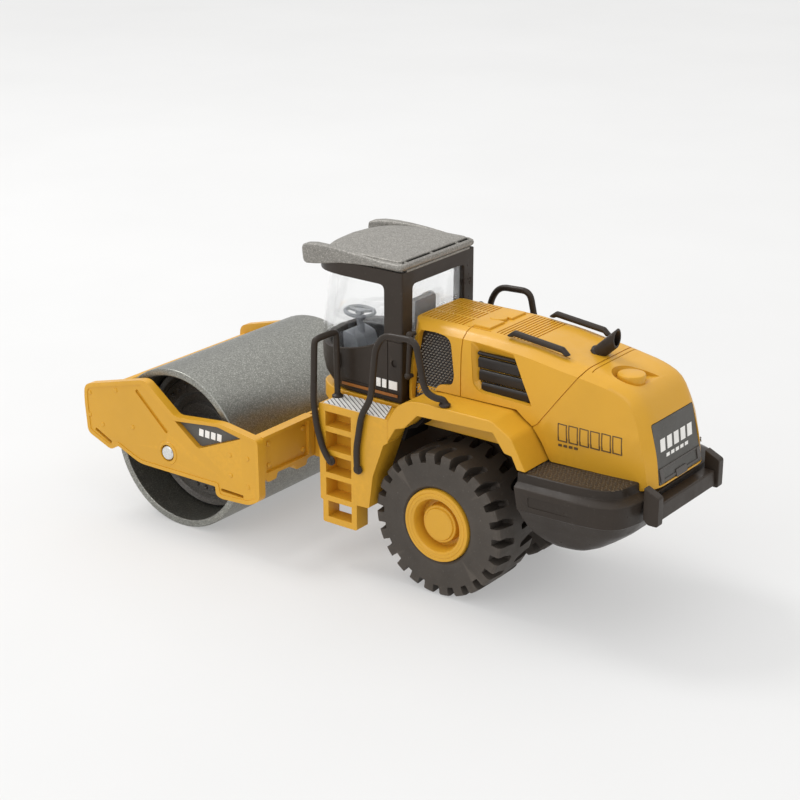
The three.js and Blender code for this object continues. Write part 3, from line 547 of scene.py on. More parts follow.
def hood_stations():
    stations = []
    for y in (-15.6, -15.2, -14.4, -13.2, -11.6, -8, -4, 0, 4, 8, 12, 15, 18):
        stations.append((Vector((y, along(HOOD_TOP, y))), Vector((y, along(HOOD_FOOT, y)))))
    last = math.atan2(55.1 - FAN.x, 39.0 - FAN.y)
    count = 30
    for k in range(1, count + 1):
        angle = last * (k / count) - (1e-4 if k == count else 0)
        ray = Vector((math.sin(angle), math.cos(angle)))
        stations.append((crossing(HOOD_TOP, FAN, ray), crossing(HOOD_FOOT, FAN, ray)))
    return stations


def hood_body(inset=0.0):
    """The hood as rings from its top line down to its foot line."""
    rings = []
    for top, foot in hood_stations():
        ray = (foot - top).normalized()
        top = top + ray * inset
        if inset and top.x < -15:
            top.x = foot.x = -15.6 + inset
        length = (foot - top).length
        half = [(3.5, 0.02), (7.2, 0.06), (8.8, 0.14), (9.8, 0.34), (10.7, 0.7), (11.4, 1.2)]
        for share in (0, 0.08, 0.18, 0.3, 0.45, 0.6, 0.75, 0.9, 1):
            depth = 2.2 + (length - 2.2) * share
            spot = top + ray * depth
            half.append((hood_side(spot.x, spot.y), depth))
        limit = hood_side(*(top + ray * 2.2))
        half = [(min(x, limit - (2.2 - d) * 0.25) if d < 2.2 else x, d) for x, d in half]
        ring = []
        for sign in (-1, 1):
            side = [(sign * (x - inset), d) for x, d in half]
            side = side[::-1] if sign < 0 else side
            ring += [Vector((x, AXLE_Y + (top + ray * d).x, (top + ray * d).y)) for x, d in side]
            if sign < 0:
                ring.append(Vector((0, AXLE_Y + top.x, top.y)))
        rings.append(ring)
    return loft(rings)


def merged(parts):
    """Several closed meshes in one bmesh."""
    whole = bmesh.new()
    for part in parts:
        mesh = saved(part)
        whole.from_mesh(mesh)
        bpy.data.meshes.remove(mesh)
    return whole


def strip(points, width, low=-20, high=20):
    """Thin slab whose (y, z) centre line is given, running along x."""
    left, right_side = [], []
    for i, p in enumerate(points):
        p = Vector(p)
        ahead = Vector(points[min(i + 1, len(points) - 1)]) - Vector(points[max(i - 1, 0)])
        side = Vector((-ahead.y, ahead.x)).normalized() * width / 2
        left.append(p + side)
        right_side.append(p - side)
    return prism("x", left + right_side[::-1], low, high)


def at_height(points, z):
    return [Vector((p.x, p.y, z)) for p in points]


def rel(points):
    return [(AXLE_Y + p[0],) + tuple(p[1:]) for p in points]


hood = mesh_object("hood_shell", hood_body(), YELLOW)
seams = mesh_object("seams", merged([
    strip(rel([(1.9, 48), (1.8, 51), (0.4, 62), (0.2, 70)]), 0.28),
    strip(rel([(22.6, 48.2), (24.2, 49.4), (33.6, 62.6), (35.6, 66)]), 0.28),
]), YELLOW)
boolean(seams, hood_body(0.35))
boolean(hood, taken(seams))


def side_frame(origin, along_u, up_v):
    u = Vector(along_u).normalized()
    w = u.cross(Vector(up_v)).normalized()
    v = w.cross(u)
    return Matrix.Translation(Vector(origin)) @ Matrix((u, v, w)).transposed().to_4x4()


def flip(bm):
    bm.transform(Matrix.Scale(-1, 4, (1, 0, 0)))
    bmesh.ops.reverse_faces(bm, faces=bm.faces)
    return bm


def paired(name, make, material, body, *nodes, **settings):
    """A left piece and its mirror image."""
    for label in ("left", "right"):
        bm = make()
        if label == "right":
            flip(bm)
        piece(name + "_" + label, bm, material, body, *[n + "_" + label for n in nodes], **settings)


MESH_FRAME = side_frame((13.9, AXLE_Y - 15.6, 51.3), (0.6, 14.4, 0), (-0.19, 0, 1))
MESH_POINTS = [(2.6, -4.0, 0.8), (7.4, -3.8, 0.8), (9.2, -0.9, 0.3), (10.9, 1.6, 1), (14.6, 2.0, 1.2),
               (14.9, 4.4, 1),
               (12.3, 13.2, 1.8), (8.6, 14.0, 2), (2.6, 13.7, 1.6), (2.1, 4)]
LOUVRE_FRAME = side_frame((15.55, AXLE_Y, 50.3), (0, 1, 0), (-0.17, 0, 1))
LOUVRE_POINTS = [(5.9, 5.2, 0.8), (7.4, 3.8, 1), (21.7, 3.3, 0.5), (15.8, 12.6, 0.5), (4.2, 13.2, 0.8)]
RECESS_POINTS = [(4.9, 4.9, 0.8), (6.9, 3.3, 1), (22.2, 2.9, 0.5), (15.2, 14.2, 0.5), (2.6, 15.2, 0.8)]


def on_side(bm, sign):
    return bm if sign > 0 else flip(bm)


def pocket(points, matrix, low, high, sides=(1, -1), steps=4):
    return merged([on_side(prism("z", outline(points, steps), low, high, matrix), sign) for sign in sides])


boolean(hood, pocket(MESH_POINTS, MESH_FRAME, -1.3, 6))
boolean(hood, pocket(LOUVRE_POINTS, LOUVRE_FRAME, -2.3, 6))
for sign in (1, -1):
    levels = [at_height(outline(points, 4), w) for points, w in (
        (LOUVRE_POINTS, -1.9), (RECESS_POINTS, -0.4), (RECESS_POINTS, 5))]
    boolean(hood, on_side(loft(levels, matrix=LOUVRE_FRAME), sign))

# top: slotted grille, latch pads, ribbed grille, plate and cap recess
top_cuts = []
for row in range(12):
    y = AXLE_Y - 14.7 + row * 1.1
    for x0, x1 in ((-8.7, -3.4), (-2.7, 2.7), (3.4, 8.7)):
        top_cuts.append(box(x0, x1, y - 0.24, y + 0.24, 66.75, 70))
for row in range(10):
    y = AXLE_Y + 7.6 + row * 0.98
    top_cuts.append(box(-8.6, 8.6, y - 0.2, y + 0.2, 66.4 - 0.035 * row, 70))
boolean(hood, merged(top_cuts))


def frame_groove(x0, x1, y0, y1, depth, width=0.28):
    z0, z1 = (along(HOOD_TOP, y - AXLE_Y) for y in (y0, y1))
    parts = []
    for a0, a1, b0, b1 in (
        (x0, x1, y0, y0 + width), (x0, x1, y1 - width, y1),
        (x0, x0 + width, y0 + width, y1 - width), (x1 - width, x1, y0 + width, y1 - width),
    ):
        low = [along(HOOD_TOP, b - AXLE_Y) - depth for b in (b0, b1)]
        parts.append(prism("x", ((b0, low[0]), (b1, low[1]), (b1, 72), (b0, 72)), a0, a1))
    return parts


grooves = frame_groove(-8.9, 8.9, AXLE_Y - 1.2, AXLE_Y + 6.3, 0.3)
grooves += frame_groove(-8.9, 8.9, AXLE_Y + 17.3, AXLE_Y + 28.9, 0.3)
grooves.append(strip(rel([(35.7, 60), (35.7, 70)]), 0.28, -10.4, 10.4))
boolean(hood, merged(grooves))

CAP_X, CAP_Y = 4.4, AXLE_Y + 42.8
cap_base = along(HOOD_TOP, CAP_Y - AXLE_Y)
boolean(hood, lathe(
    [(-1.5, 0), (-1.5, 3.7), (-1.3, 4.1), (0.4, 4.7), (6, 5.2), (6, 0)], (CAP_X, CAP_Y, cap_base), "z", 48))
scoop = prism("z", outline([(CAP_X + 1, CAP_Y + 3, 1), (CAP_X - 4.6, CAP_Y + 5.2, 2),
    (CAP_X - 7.4, CAP_Y + 5.0, 1.5),
                            (CAP_X - 4, CAP_Y - 2.2, 2), (CAP_X, CAP_Y - 3, 1)]), cap_base - 1.4,
                            cap_base + 4)
boolean(hood, scoop)

REAR_FRAME = side_frame((0, AXLE_Y + 55.25, 39.2), (-1, 0, 0), (0, -0.222, 1))
REAR_POINTS = [(-10.2, 0.2, 0.4), (10.2, 0.2, 0.4), (9.9, 15.0, 0.8), (-9.9, 15.0, 0.8)]
boolean(hood, pocket(REAR_POINTS, REAR_FRAME, -0.8, 6, (1,)))
hood_bm = from_saved(hood.data)
hood_tree = BVHTree.FromBMesh(hood_bm)
hood_bm.free()
piece("hood_skin", hood, YELLOW, "chassis", "hood", bevel=0.14, segments=2, angle=40)


def dotted_mesh():
    """Rows of small raised beads over the mesh plate."""
    parts = []
    shape = [Vector(p[:2]) for p in outline(MESH_POINTS, 3)]

    def inside(u, v):
        hit = False
        for p, q in zip(shape, shape[1:] + shape[:1]):
            if (p.y > v) != (q.y > v) and u < (q.x - p.x) * (v - p.y) / (q.y - p.y) + p.x:
                hit = not hit
        return hit

    for i in range(15):
        for j in range(29):
            u = 1.4 + i * 1.0 + (0.5 if j % 2 else 0)
            v = -4.4 + j * 0.66
            if not all(inside(u + a, v + b) for a in (-0.45, 0.45) for b in (-0.45, 0.45)):
                continue
            ring = [Vector((u + 0.24 * math.cos(a), v + 0.24 * math.sin(a)))
                    for a in (math.pi / 3 * k for k in range(6))]
            bm = bmesh.new()
            tip = bm.verts.new((u, v, -0.3))
            base = [bm.verts.new((p.x, p.y, -0.95)) for p in ring]
            mid = [bm.verts.new((u + (p.x - u) * 0.6, v + (p.y - v) * 0.6, -0.42)) for p in ring]
            for k in range(6):
                m = (k + 1) % 6
                bm.faces.new((base[k], base[m], mid[m], mid[k]))
                bm.faces.new((mid[k], mid[m], tip))
            bm.faces.new(base[::-1])
            parts.append(finish_mesh(bm, MESH_FRAME))
    return merged(parts)


paired("side_mesh", lambda: prism("z", outline(MESH_POINTS, 4), -1.25, -0.9, MESH_FRAME), SLAT, "chassis",
       "mesh_panel",
       bevel=0)
# grey beads: painted highlight for the glints on the mesh
paired("side_mesh_beads", dotted_mesh, BEAD_HIGHLIGHT_GREY, "chassis", bevel=0)


def louvre_slats():
    parts = [prism("z", outline(LOUVRE_POINTS, 4), -2.25, -1.9, LOUVRE_FRAME)]
    turn = LOUVRE_FRAME @ Matrix(((0, 0, 1, 0), (1, 0, 0, 0), (0, 1, 0, 0), (0, 0, 0, 1)))
    for low, high in ((3.3, 5.7), (5.9, 8.7), (8.9, 11.7), (11.9, 12.9)):
        middle = (low + high) / 2
        front = along([(3.8, 7.2), (5.2, 6.0), (13.2, 4.3)], middle) + 0.15
        reach = along([(3.3, 21.6), (12.6, 15.8)], middle) - 0.3
        slat = outline([(low, -2.0), (low, -1.35, 0.3), (high - 0.5, -0.85, 0.4), (high, -1.3, 0.3),
                        (high, -2.0)], 3)
        parts.append(prism("z", slat, front, reach, turn))
    return merged(parts)


paired("side_louvre", louvre_slats, SLAT, "chassis", "louvre", bevel=0.08)

# a row of plain slanted outlines on the flank, thin printed lines with no letters
FLANK_FRAME = side_frame((15.3, AXLE_Y, 50), (0, 1, 0), (-0.17, 0, 1))


def flank_marks():
    parts = []
    for k in range(6):
        u = 29.8 + k * 2.85
        drop = -0.05 * k
        shape = [(u, -3.6 + drop), (u + 2.2, -3.7 + drop), (u + 2.1, 0.6 + drop), (u - 0.1, 0.7 + drop)]
        for p, q in zip(shape, shape[1:] + shape[:1]):
            p, q = Vector(p), Vector(q)
            ahead = (q - p).normalized() * 0.12
            side = Vector((-ahead.y, ahead.x))
            p, q = p - ahead, q + ahead
            for i in range(4):
                a, b = p.lerp(q, i / 4), p.lerp(q, (i + 1) / 4)
                parts.append((a + side, b + side, b - side, a - side))
    for k in range(4):
        u = 29.8 + k * 1.4
        parts.append([Vector(v) for v in ((u, -5.1), (u + 0.9, -5.1), (u + 0.9, -4.5), (u, -4.5))])
    slabs = []
    for quad in parts:
        rings = []
        for edge_highlight in (-0.12, 0.07):
            ring = []
            for p in quad:
                spot = FLANK_FRAME @ Vector((p.x, p.y, 0))
                hit = hood_tree.ray_cast(Vector((30, spot.y, spot.z)) * MM, Vector((-1, 0, 0)))[0]
                ring.append(Vector((hit.x / MM + edge_highlight, spot.y, spot.z)))
            rings.append(ring)
        slabs.append(loft(rings))
    return merged(slabs)


paired("flank_print", flank_marks, MARK, "chassis", bevel=0)


rear_plate = outline([(-10, 0.3, 0.3), (10, 0.3, 0.3), (9.7, 14.8, 0.6), (-9.7, 14.8, 0.6)])
piece("rear_plate", prism("z", rear_plate, -0.75, -0.4, REAR_FRAME), INLAY, "chassis", "rear_panel",
      bevel=0.1)
lamp_bits = [
    [(-9.6, 0.7, 0.3), (-9.6, 1.3, 0.2), (9.6, 1.3, 0.2), (9.6, 0.7, 0.3)],
    [(-8.2, 3.6, 0.2), (-8.2, 4.1, 0.2), (8.2, 4.1, 0.2), (8.2, 3.6, 0.2)],
    [(-2.6, 0.0, 0.3), (-2.6, 1.9, 0.4), (2.6, 1.9, 0.4), (2.6, 0.0, 0.3)],
    [(-9.7, 1.2, 0.3), (-9.7, 4.1, 0.4), (-8.0, 4.1, 0.4), (-8.0, 1.2, 0.3)],
    [(8.0, 1.2, 0.3), (8.0, 4.1, 0.4), (9.7, 4.1, 0.4), (9.7, 1.2, 0.3)],
]
piece("rear_plate_bars", merged([
    prism("z", outline(points), -0.5, -0.2 + 0.12 * (i > 1) - 0.001 * i, REAR_FRAME) for i,
    points in enumerate(lamp_bits)
]), GLOSS, "chassis", bevel=0.1)


def slanted_bar(u, v, width, height, lean):
    corners = ((u, v), (u + width, v), (u + width + lean, v + height), (u + lean, v + height))
    return prism("z", corners, -0.5, -0.36, REAR_FRAME)


bars = [slanted_bar(-7.6 + k * 3.2, 7.6, 2.2, 2.9, 0.5) for k in range(5)]
bars += [slanted_bar(-5.4 + k * 2.2, 5.9, 1.5, 0.8, 0.2) for k in range(5)]
piece("rear_plate_print", merged(bars), PALE, "chassis", bevel=0)

# latch pads and fuel cap
pads = [box(x0, x1, AXLE_Y + 0.2, AXLE_Y + 5.2, 66.9, 67.75) for x0, x1 in ((-8.0, -1.6), (1.6, 8.0))]
piece("latch_pads", merged(pads), YELLOW, "chassis", bevel=0.3)
latch = prism("z", outline([(-1.8, AXLE_Y + 0.6, 0.4), (1.8, AXLE_Y + 0.6, 0.4), (2.6, AXLE_Y + 2.4, 1.5),
    (0.9, AXLE_Y + 4.6, 1.5),
                            (-0.9, AXLE_Y + 4.6, 1.5), (-2.6, AXLE_Y + 2.4, 1.5)]), 66.9, 67.95)
piece("latch_bow", latch, YELLOW, "chassis", bevel=0.35)
cap = lathe([(-1.5, 0), (-1.5, 3.3), (0.1, 3.45), (0.55, 3.2), (0.75, 2.6), (0.9, 1.2), (0.95, 0)],
            (CAP_X, CAP_Y, cap_base), "z", 64)
piece("fuel_cap_dome", cap, YELLOW, "chassis", "fuel_cap", bevel=0)

# exhaust: a leaning pipe with an oblique mouth
LEAN = 0.82
foot = Vector((0, AXLE_Y + 30.6, 64.0))
tilt = Matrix.Translation(foot) @ Matrix.Rotation(-LEAN, 4, "X")
pipe = mesh_object("exhaust_tube", lathe(
    [(-3, 0), (-3, 1.8), (0, 1.8), (0.3, 2.1), (0.7, 2.1), (1.0, 1.8), (9.6, 1.8), (9.6, 1.35), (3, 1.35),
     (3, 0)],
    (0, 0, 0), "z", 48), BLACK)
pipe.data.transform(Matrix.Scale(1 / MM, 4))
pipe.data.transform(tilt)
pipe.data.transform(Matrix.Scale(MM, 4))
boolean(pipe, box(-4, 4, foot.y + 5.4, foot.y + 15, 55, 90))
piece("exhaust_tube", pipe, BLACK, "chassis", "exhaust_pipe", bevel=0.12)

# ------------------------------------------------------------------ drum frame
def from_drum(points):
    return [(DRUM_Y + p[0], DRUM_Z + p[1]) + tuple(p[2:]) for p in points]


PLATE = from_drum([
    (-30.5, 8.4, 2), (-30.2, 13.2, 2.2), (-8.6, 18.85, 1.4), (-6.7, 18.75, 1.2), (3.5, 11.1, 1.2),
    (19.4, 12.8, 2),
    (32.1, 11, 1.4), (32.3, -5.6, 1.4), (28.7, -7.7, 1.8), (18.9, -8.3, 1.2), (17.1, -7.7, 1),
    (16.9, -5.3, 0.4),
    (-10.4, -5.4, 2), (-18.4, -2.3, 0.6), (-21.2, -4, 1.2), (-29.8, -0.7, 1.6), (-30, 2.6, 1)])
BADGE = from_drum([(2.6, 10.2, 0.4), (18.4, 11.6, 0.8), (26.4, 10.2, 0.5), (11.2, 3.9, 0.8)])
BADGE_PLATE = from_drum([(2.9, 10.1, 0.3), (18.3, 11.4, 0.8), (25.9, 10.1, 0.4), (11.3, 4.2, 0.7)])
PLATE_IN, PLATE_OUT = 30.9, 33.15
BEAM_FRONT, BEAM_REAR = -25.0, -22.1
BEAM_TOP = 33.5


def slot_shape(p, q, width):
    p, q = Vector(p), Vector(q)
    ahead = (q - p).normalized()
    side = Vector((-ahead.y, ahead.x)) * width / 2
    r = width * 0.49
    return outline([tuple(p + side - ahead * r) + (r,), tuple(q + side + ahead * r) + (r,),
                    tuple(q - side + ahead * r) + (r,), tuple(p - side - ahead * r) + (r,)], 4)


def boss(y, z, radius=0.62, height=0.22, base=PLATE_OUT):
    return lathe([(base - 0.4, 0), (base - 0.4, radius), (base + height * 0.5, radius),
                  (base + height, radius * 0.72), (base + height, 0)], (0, y, z), "x", 18)


def frame_plate():
    ob = mesh_object("plate", prism("x", outline(PLATE, 6), PLATE_IN, PLATE_OUT), YELLOW)
    boolean(ob, merged([
        prism("x", outline(BADGE, 5), PLATE_OUT - 1.5, 35),
        prism("x", slot_shape(*from_drum([(-10.3, 15.2), (-0.2, 6.2)]), 1.15), PLATE_OUT - 0.55, 35),
        prism("x", slot_shape(*from_drum([(-26.6, 0.6), (-21.4, -1.8)]), 0.9), 30, 35),
        prism("x", slot_shape(*from_drum([(19.2, -5.8), (26.2, -5.9)]), 0.85), 30, 35),
        lathe([(29, 0), (29, 2.25), (35, 2.25), (35, 0)], (0, DRUM_Y, DRUM_Z), "x", 40)]))
    lip = mesh_object("lip", prism("x", outline(PLATE, 6), PLATE_OUT - 0.6, PLATE_OUT + 0.2), YELLOW)
    inner = outline(from_drum([
        (-29.4, 8.2, 1.5), (-29.2, 12.2, 1.5), (-8.5, 17.6, 0.6), (3.1, 9.9, 0.6), (19.3, 11.9, 1.5),
        (31.0, 10.2, 0.5),
        (31.2, -5.2, 0.8), (28.2, -6.6, 1), (18.6, -7.2, 0.6), (17.9, -4.2, 0.4),
        (-10.2, -4.4, 1.5), (-18.6, -1.2, 0.5), (-21.2, -2.8, 1), (-28.8, 0.2, 1), (-28.9, 3, 1)]), 4)
    boolean(lip, prism("x", inner, 30, 35))
    bosses = [boss(DRUM_Y + a, DRUM_Z + b) for a, b in (
        (-28.4, 10.9), (-18.4, 13.8), (-28.8, 4.5), (-24.0, 2.7), (-12.6, 4.4), (22.3, 4.7), (28.3, 5.2),
        (22.4, -0.9), (28.3, -2.7))]
    ring = lathe([(PLATE_OUT - 0.5, 2.3), (PLATE_OUT + 0.22, 2.4), (PLATE_OUT + 0.22, 3.2),
                  (PLATE_OUT - 0.5, 3.5)],
                 (0, DRUM_Y, DRUM_Z), "x", 48, True)
    boolean(ob, taken(lip), "UNION")
    return merged([taken(ob), ring] + bosses)


plate_mesh = saved(frame_plate())
paired("side_plate", lambda: from_saved(plate_mesh), YELLOW, "front_frame", "frame_plate", bevel=0.22)
paired("side_badge", lambda: prism("x", outline(BADGE_PLATE, 5), PLATE_OUT - 1.55, PLATE_OUT - 1.2), INLAY,
       "front_frame", "frame_badge", bevel=0.1)



def badge_bar(a):
    corners = from_drum([(a, 7.2), (a + 1.5, 7.1), (a + 1.7, 9.1), (a + 0.2, 9.2)])
    return prism("x", corners, PLATE_OUT - 1.3, PLATE_OUT - 1.16)


paired("badge_print", lambda: merged([badge_bar(a) for a in (10.6, 12.7, 14.8, 16.9)]), PALE,
       "front_frame", bevel=0)

beam = [(PLATE_IN, BEAM_TOP), (10.2, BEAM_TOP, 0.3), (10.2, 22.1, 0.3), (13.2, 22.1, 0.6),
        (13.8, 20.4, 0.6), (18.0, 20.4, 0.6),
        (18.8, 22.0, 0.5), (25.4, 22.2, 0.5), (26.0, 20.6, 0.6), (29.4, 20.6, 0.6), (29.9, 21.6, 0.5),
        (PLATE_IN, 21.6)]


def rear_beam():
    ob = mesh_object("beam", prism("y", outline(beam, 4), BEAM_FRONT, BEAM_REAR), YELLOW)
    boolean(ob, prism("y", outline([(29.8, 32.5, 0.6), (12.6, 32.5, 0.6), (12.6, 23.0, 0.6),
        (29.8, 23.2, 0.6)], 4),
                      -22.9, -20))
    studs = [lathe([(-23.2, 0), (-23.2, 0.7), (-22.65, 0.7), (-22.45, 0.45), (-22.45, 0)], (x, 0, z), "y",
                   18)
             for x, z in ((28.2, 30.8), (28.2, 24.8), (14.2, 30.8), (14.2, 24.8))]
    return merged([taken(ob)] + studs)


beam_bm = rear_beam()
other_half = beam_bm.copy()
piece("rear_beam_plate", merged([beam_bm, flip(other_half),
    box(-10.6, 10.6, BEAM_FRONT, -23.9, 22.2, 33.3)]), YELLOW,
      "front_frame", "frame_rear_beam", bevel=0.22)
piece("front_beam_bar", prism("x",
    outline([(-83.4, 25.9, 0.9), (-83.4, 33.3, 1.1), (-81.1, 33.3, 0.7), (-81.1, 25.9, 0.7)], 5),
                              -30.8, 30.8), YELLOW, "front_frame", "frame_front_beam", bevel=0.15)

axle = lathe([(-33.38, 0), (-33.38, 1.7), (-33.1, 1.98), (33.1, 1.98), (33.38, 1.7), (33.38, 0)],
             (0, DRUM_Y, DRUM_Z), "x", 48)
piece("drum_pin", axle, STEEL, "front_frame", "drum_axle", bevel=0)


def drum_disc():
    x = 17.8
    body = lathe([(x - 2.4, 2.4), (x - 2.4, 19.9), (x + 0.5, 19.9), (x + 0.9, 19.5), (x + 0.2, 18.6),
                  (x, 18.2),
                  (x, 17.2), (x + 0.9, 16.7), (x + 0.9, 12.9), (x + 0.1, 12.2), (x + 0.1, 10.4),
                  (x + 1.3, 9.8),
                  (x + 1.3, 6.6), (x + 2.2, 6.2), (x + 2.2, 5.2), (28.2, 5.0), (28.4, 4.7), (28.4, 2.4)],
                 (0, DRUM_Y, DRUM_Z), "x", 72, True)
    rivets = []
    for k in range(30):
        a = 2 * math.pi * (k + 0.5) / 30
        y, z = DRUM_Y + 14.8 * math.cos(a), DRUM_Z + 14.8 * math.sin(a)
        rivets.append(lathe([(x + 0.7, 0), (x + 0.7, 0.62), (x + 1.2, 0.6), (x + 1.55, 0.34), (x + 1.6, 0)],
                            (0, y, z), "x", 10))
    return merged([body] + rivets)


# disc faces carry the darker grey as painted shade
paired("disc_face", drum_disc, DISC_SHADED_GREY, "drum", "drum_disc", bevel=0.12)


# ------------------------------------------------------------------ wheels
TYRE_OUT, TYRE_IN = 22.45, 6.95
TYRE_R = AXLE_Z
LUGS = 24


def tyre():
    """A ring with slanted grooves cut in from both sides, half a lug apart."""
    body = lathe([
        (TYRE_IN, 9.75), (TYRE_IN, 13), (TYRE_IN, 16), (TYRE_IN, 18.2), (TYRE_IN + 0.4, 18.75),
        (TYRE_IN + 1.2, 18.95),
        (TYRE_IN + 5.2, TYRE_R), (TYRE_OUT - 5.2, TYRE_R), (TYRE_OUT - 1.2, 18.95),
        (TYRE_OUT - 0.4, 18.75), (TYRE_OUT, 18.2), (TYRE_OUT, 16), (TYRE_OUT, 13), (TYRE_OUT, 10.3),
        (TYRE_OUT - 0.5, 9.75)],
        (0, AXLE_Y, AXLE_Z), "x", 144, True)
    ob = mesh_object("tyre", body, RUBBER)
    cutters = []
    for side in (0, 1):
        for k in range(LUGS):
            turn = 2 * math.pi * (k + 0.5 * side) / LUGS
            sign = 1 if side == 0 else -1
            edge = TYRE_OUT + 1 if side == 0 else TYRE_IN - 1
            inner = edge - sign * 7.2
            shape = outline([(edge, -1.0), (edge - sign * 3.4, -0.95, 1), (inner, 0.35, 0.7),
                (inner, 1.9, 0.9),
                             (edge - sign * 3.2, 1.45, 1), (edge, 1.15)], 3)
            rings = []
            for level, grow in ((16.3, 0.7), (17.4, 0.9), (20.5, 1.12)):
                shift = sign * 0.8 if level < 17 else 0
                rings.append([Vector((p.x + (shift if abs(p.x - edge) > 0.5 else 0), p.y * grow, level))
                              for p in shape])
            bm = loft(rings)
            bm.transform(Matrix.Translation((0, AXLE_Y * MM, AXLE_Z * MM)) @ Matrix.Rotation(turn, 4, "X"))
            cutters.append(bm)
    boolean(ob, merged(cutters))
    return saved(taken(ob))


tyre_mesh = tyre()
paired("lug_tyre", lambda: from_saved(tyre_mesh), RUBBER, "rear_wheels", "tyre", bevel=0, dissolve=False)

# the rim, from the hub bore out over the bead and into the cap; depths are behind the face
RIM_FACE = 22.9
rim_profile = [(TYRE_IN, 1.8), (TYRE_IN, 9.6), (22.0, 9.6),
               (22.4, 9.5)] + [(RIM_FACE - depth, radius) for depth, radius in (
    (0.3, 9.5), (0.05, 9.36), (0, 9.1), (0, 8.7),
    (0.1, 8.6), (0.1, 8.5), (0, 8.4), (0.02, 7.75), (0.12, 7.66), (0.12, 7.56), (0.06, 7.46),
    (0.25, 7.0), (0.8, 6.7), (2.2, 6.45), (3.7, 6.3), (3.9, 6.05), (3.9, 5.2), (3.6, 5.0),
    (1.75, 4.9), (1.6, 4.75), (1.6, 4.35), (1.45, 4.25), (1.2, 4.1), (1.1, 3.8), (1.05, 0),
)]
paired("wheel_rim", lambda: lathe(rim_profile + [(TYRE_IN, 0)], (0, AXLE_Y, AXLE_Z), "x", 96), YELLOW,
       "rear_wheels",
       "rim", bevel=0)


# ------------------------------------------------------------------ cab
def mirrored(side):
    """A half plan that ends on the centre line, with its other half."""
    return side + [(-p[0],) + tuple(p[1:]) for p in side[-2::-1]]


def cab_plan(inset, front=0.0):
    half = CAB_HALF - inset
    rear = CAB_REAR - inset
    nose = CAB_FRONT + inset + front
    side = [(half, rear, 0.6), (half, nose + 10.5, 3), (half - 1.6, nose + 4.6, 4),
            (half - 6.4, nose + 0.9, 4), (0, nose)]
    return outline(mirrored(side), 6)


tub_levels = [(45.25, 0.5, 3.4), (46.2, 0.3, 2.8), (48.6, 0.05, 1.2), (52.0, 0, 0.4), (62.0, 0, 0)]
tub = mesh_object("tub", loft([at_height(cab_plan(i, f_), z) for z, i, f_ in tub_levels]), BLACK)
boolean(tub, loft([at_height(cab_plan(i + 1.3, f_), z + 1.5) for z, i, f_ in tub_levels]))
sill = [(12, 70), (12, 61.2)] + [(y + AXLE_Y, z) for y, z in (
    (-21.4, 61.2), (-22.2, 60.7), (-23.4, 59.9), (-25.3, 58.8), (-27.2, 58.0), (-29, 57.4), (-32, 56.6),
    (-35.6, 56.0), (-40, 55.8),
    (-44, 56.2), (-49, 57.2))] + [(-26, 70)]
boolean(tub, prism("x", sill, -20, 20))
door_front = CAB_FRONT + 11.3
door_lines = [(15.2, door_front, door_front + 0.3, 46.6, 60), (15.2, 6.2, 6.45, 46.6, 62),
              (15.25, door_front + 0.1, 6.4, 48.2, 48.45)]
door_cuts = [on_side(box(x, 17, *ends), sign) for x, *ends in door_lines for sign in (1, -1)]
door_lock = lathe([(15.1, 0), (15.1, 0.95), (17, 0.95), (17, 0)], (0, 8.4, 55.6), "x", 24)
boolean(tub, merged(door_cuts + [door_lock]), overlapping=True)
piece("cab_lower", tub, BLACK, "chassis", "cab_tub", bevel=0.22, angle=35)
# on each side: raised lip along the tub's top edge, stripe, bars in place of a word, door pull
for sign, label in ((1, "left"), (-1, "right")):
    lip = rod([(sign * 15.15, y, z + 0.1) for y, z in sill[3:-4]], 0.42, 1.0, 10)
    piece("window_lip_" + label, lip, BLACK, "chassis", bevel=0)
    stripe = box(15.45, 15.66, -8.3, 9.4, 46.75, 47.5)
    piece("side_stripe_" + label, on_side(stripe, sign), ORANGE, "chassis", bevel=0.05)
    words = merged([box(15.3, 15.6, y, y + 1.3, 48.7, 50.9) for y in (2.8, 4.6, 6.7, 8.0)])
    piece("door_print_" + label, on_side(words, sign), PALE, "chassis", bevel=0)
    pull = rod([(15.3, -9.4, 54.5), (16.1, -9.4, 54.4), (16.2, -9.3, 51.2), (15.3, -9.3, 51.1)], 0.4, 0.6, 10)
    piece("door_pull_" + label, on_side(pull, sign), BLACK, "chassis", bevel=0)

shell = loft([at_height(cab_plan(0.0), z) for z in (61.25, 68, 79.3)])
pillars = mesh_object("pillars", shell, BLACK)
boolean(pillars, loft([at_height(cab_plan(1.3), z) for z in (50, 66, 85)]))
side_window = outline([(5.1, 50), (5.1, 75.4, 1.6), (CAB_FRONT - 4, 75.6), (CAB_FRONT - 4, 50)], 6)
boolean(pillars, prism("x", side_window, -20, 20))
rear_window = outline([(-11.3, 50), (11.3, 50), (11.0, 75.6, 1.4), (-11.0, 75.6, 1.4)], 6)
boolean(pillars, prism("y", rear_window, 4, 20))
piece("cab_pillars", pillars, BLACK, "chassis", "cab_frame", bevel=0.25)

glass_levels = [(55.7, 0.45, 0.3), (58, 0.35, -0.2), (62, 0.35, 0.0), (66.5, 0.35, 0.7), (72, 0.35, 1.7),
                (78.9, 0.35, 3.0)]
pane = mesh_object("pane", loft([at_height(cab_plan(i, f_), z) for z, i, f_ in glass_levels]), CLEAR)
boolean(pane, loft([at_height(cab_plan(i + 0.7, f_), z + (0.01 if k else -1) + (2 if k == 5 else 0))
                    for k, (z, i, f_) in enumerate(glass_levels)]))
piece("cab_window_shell", pane, CLEAR, "chassis", "cab_glass", bevel=0)


# ------------------------------------------------------------------ roof
def roof_plan(inset, z):
    half = 15.9 - inset
    rear, nose = CAB_REAR + 0.1 - inset, -18.2 + inset
    side = [(half, rear, 1.4), (half, -4, 6), (half - 1.2, nose + 5.5, 4), (half - 6.5, nose + 1.0, 5),
            (0, nose)]
    return at_height(outline(mirrored(side), 8), z)


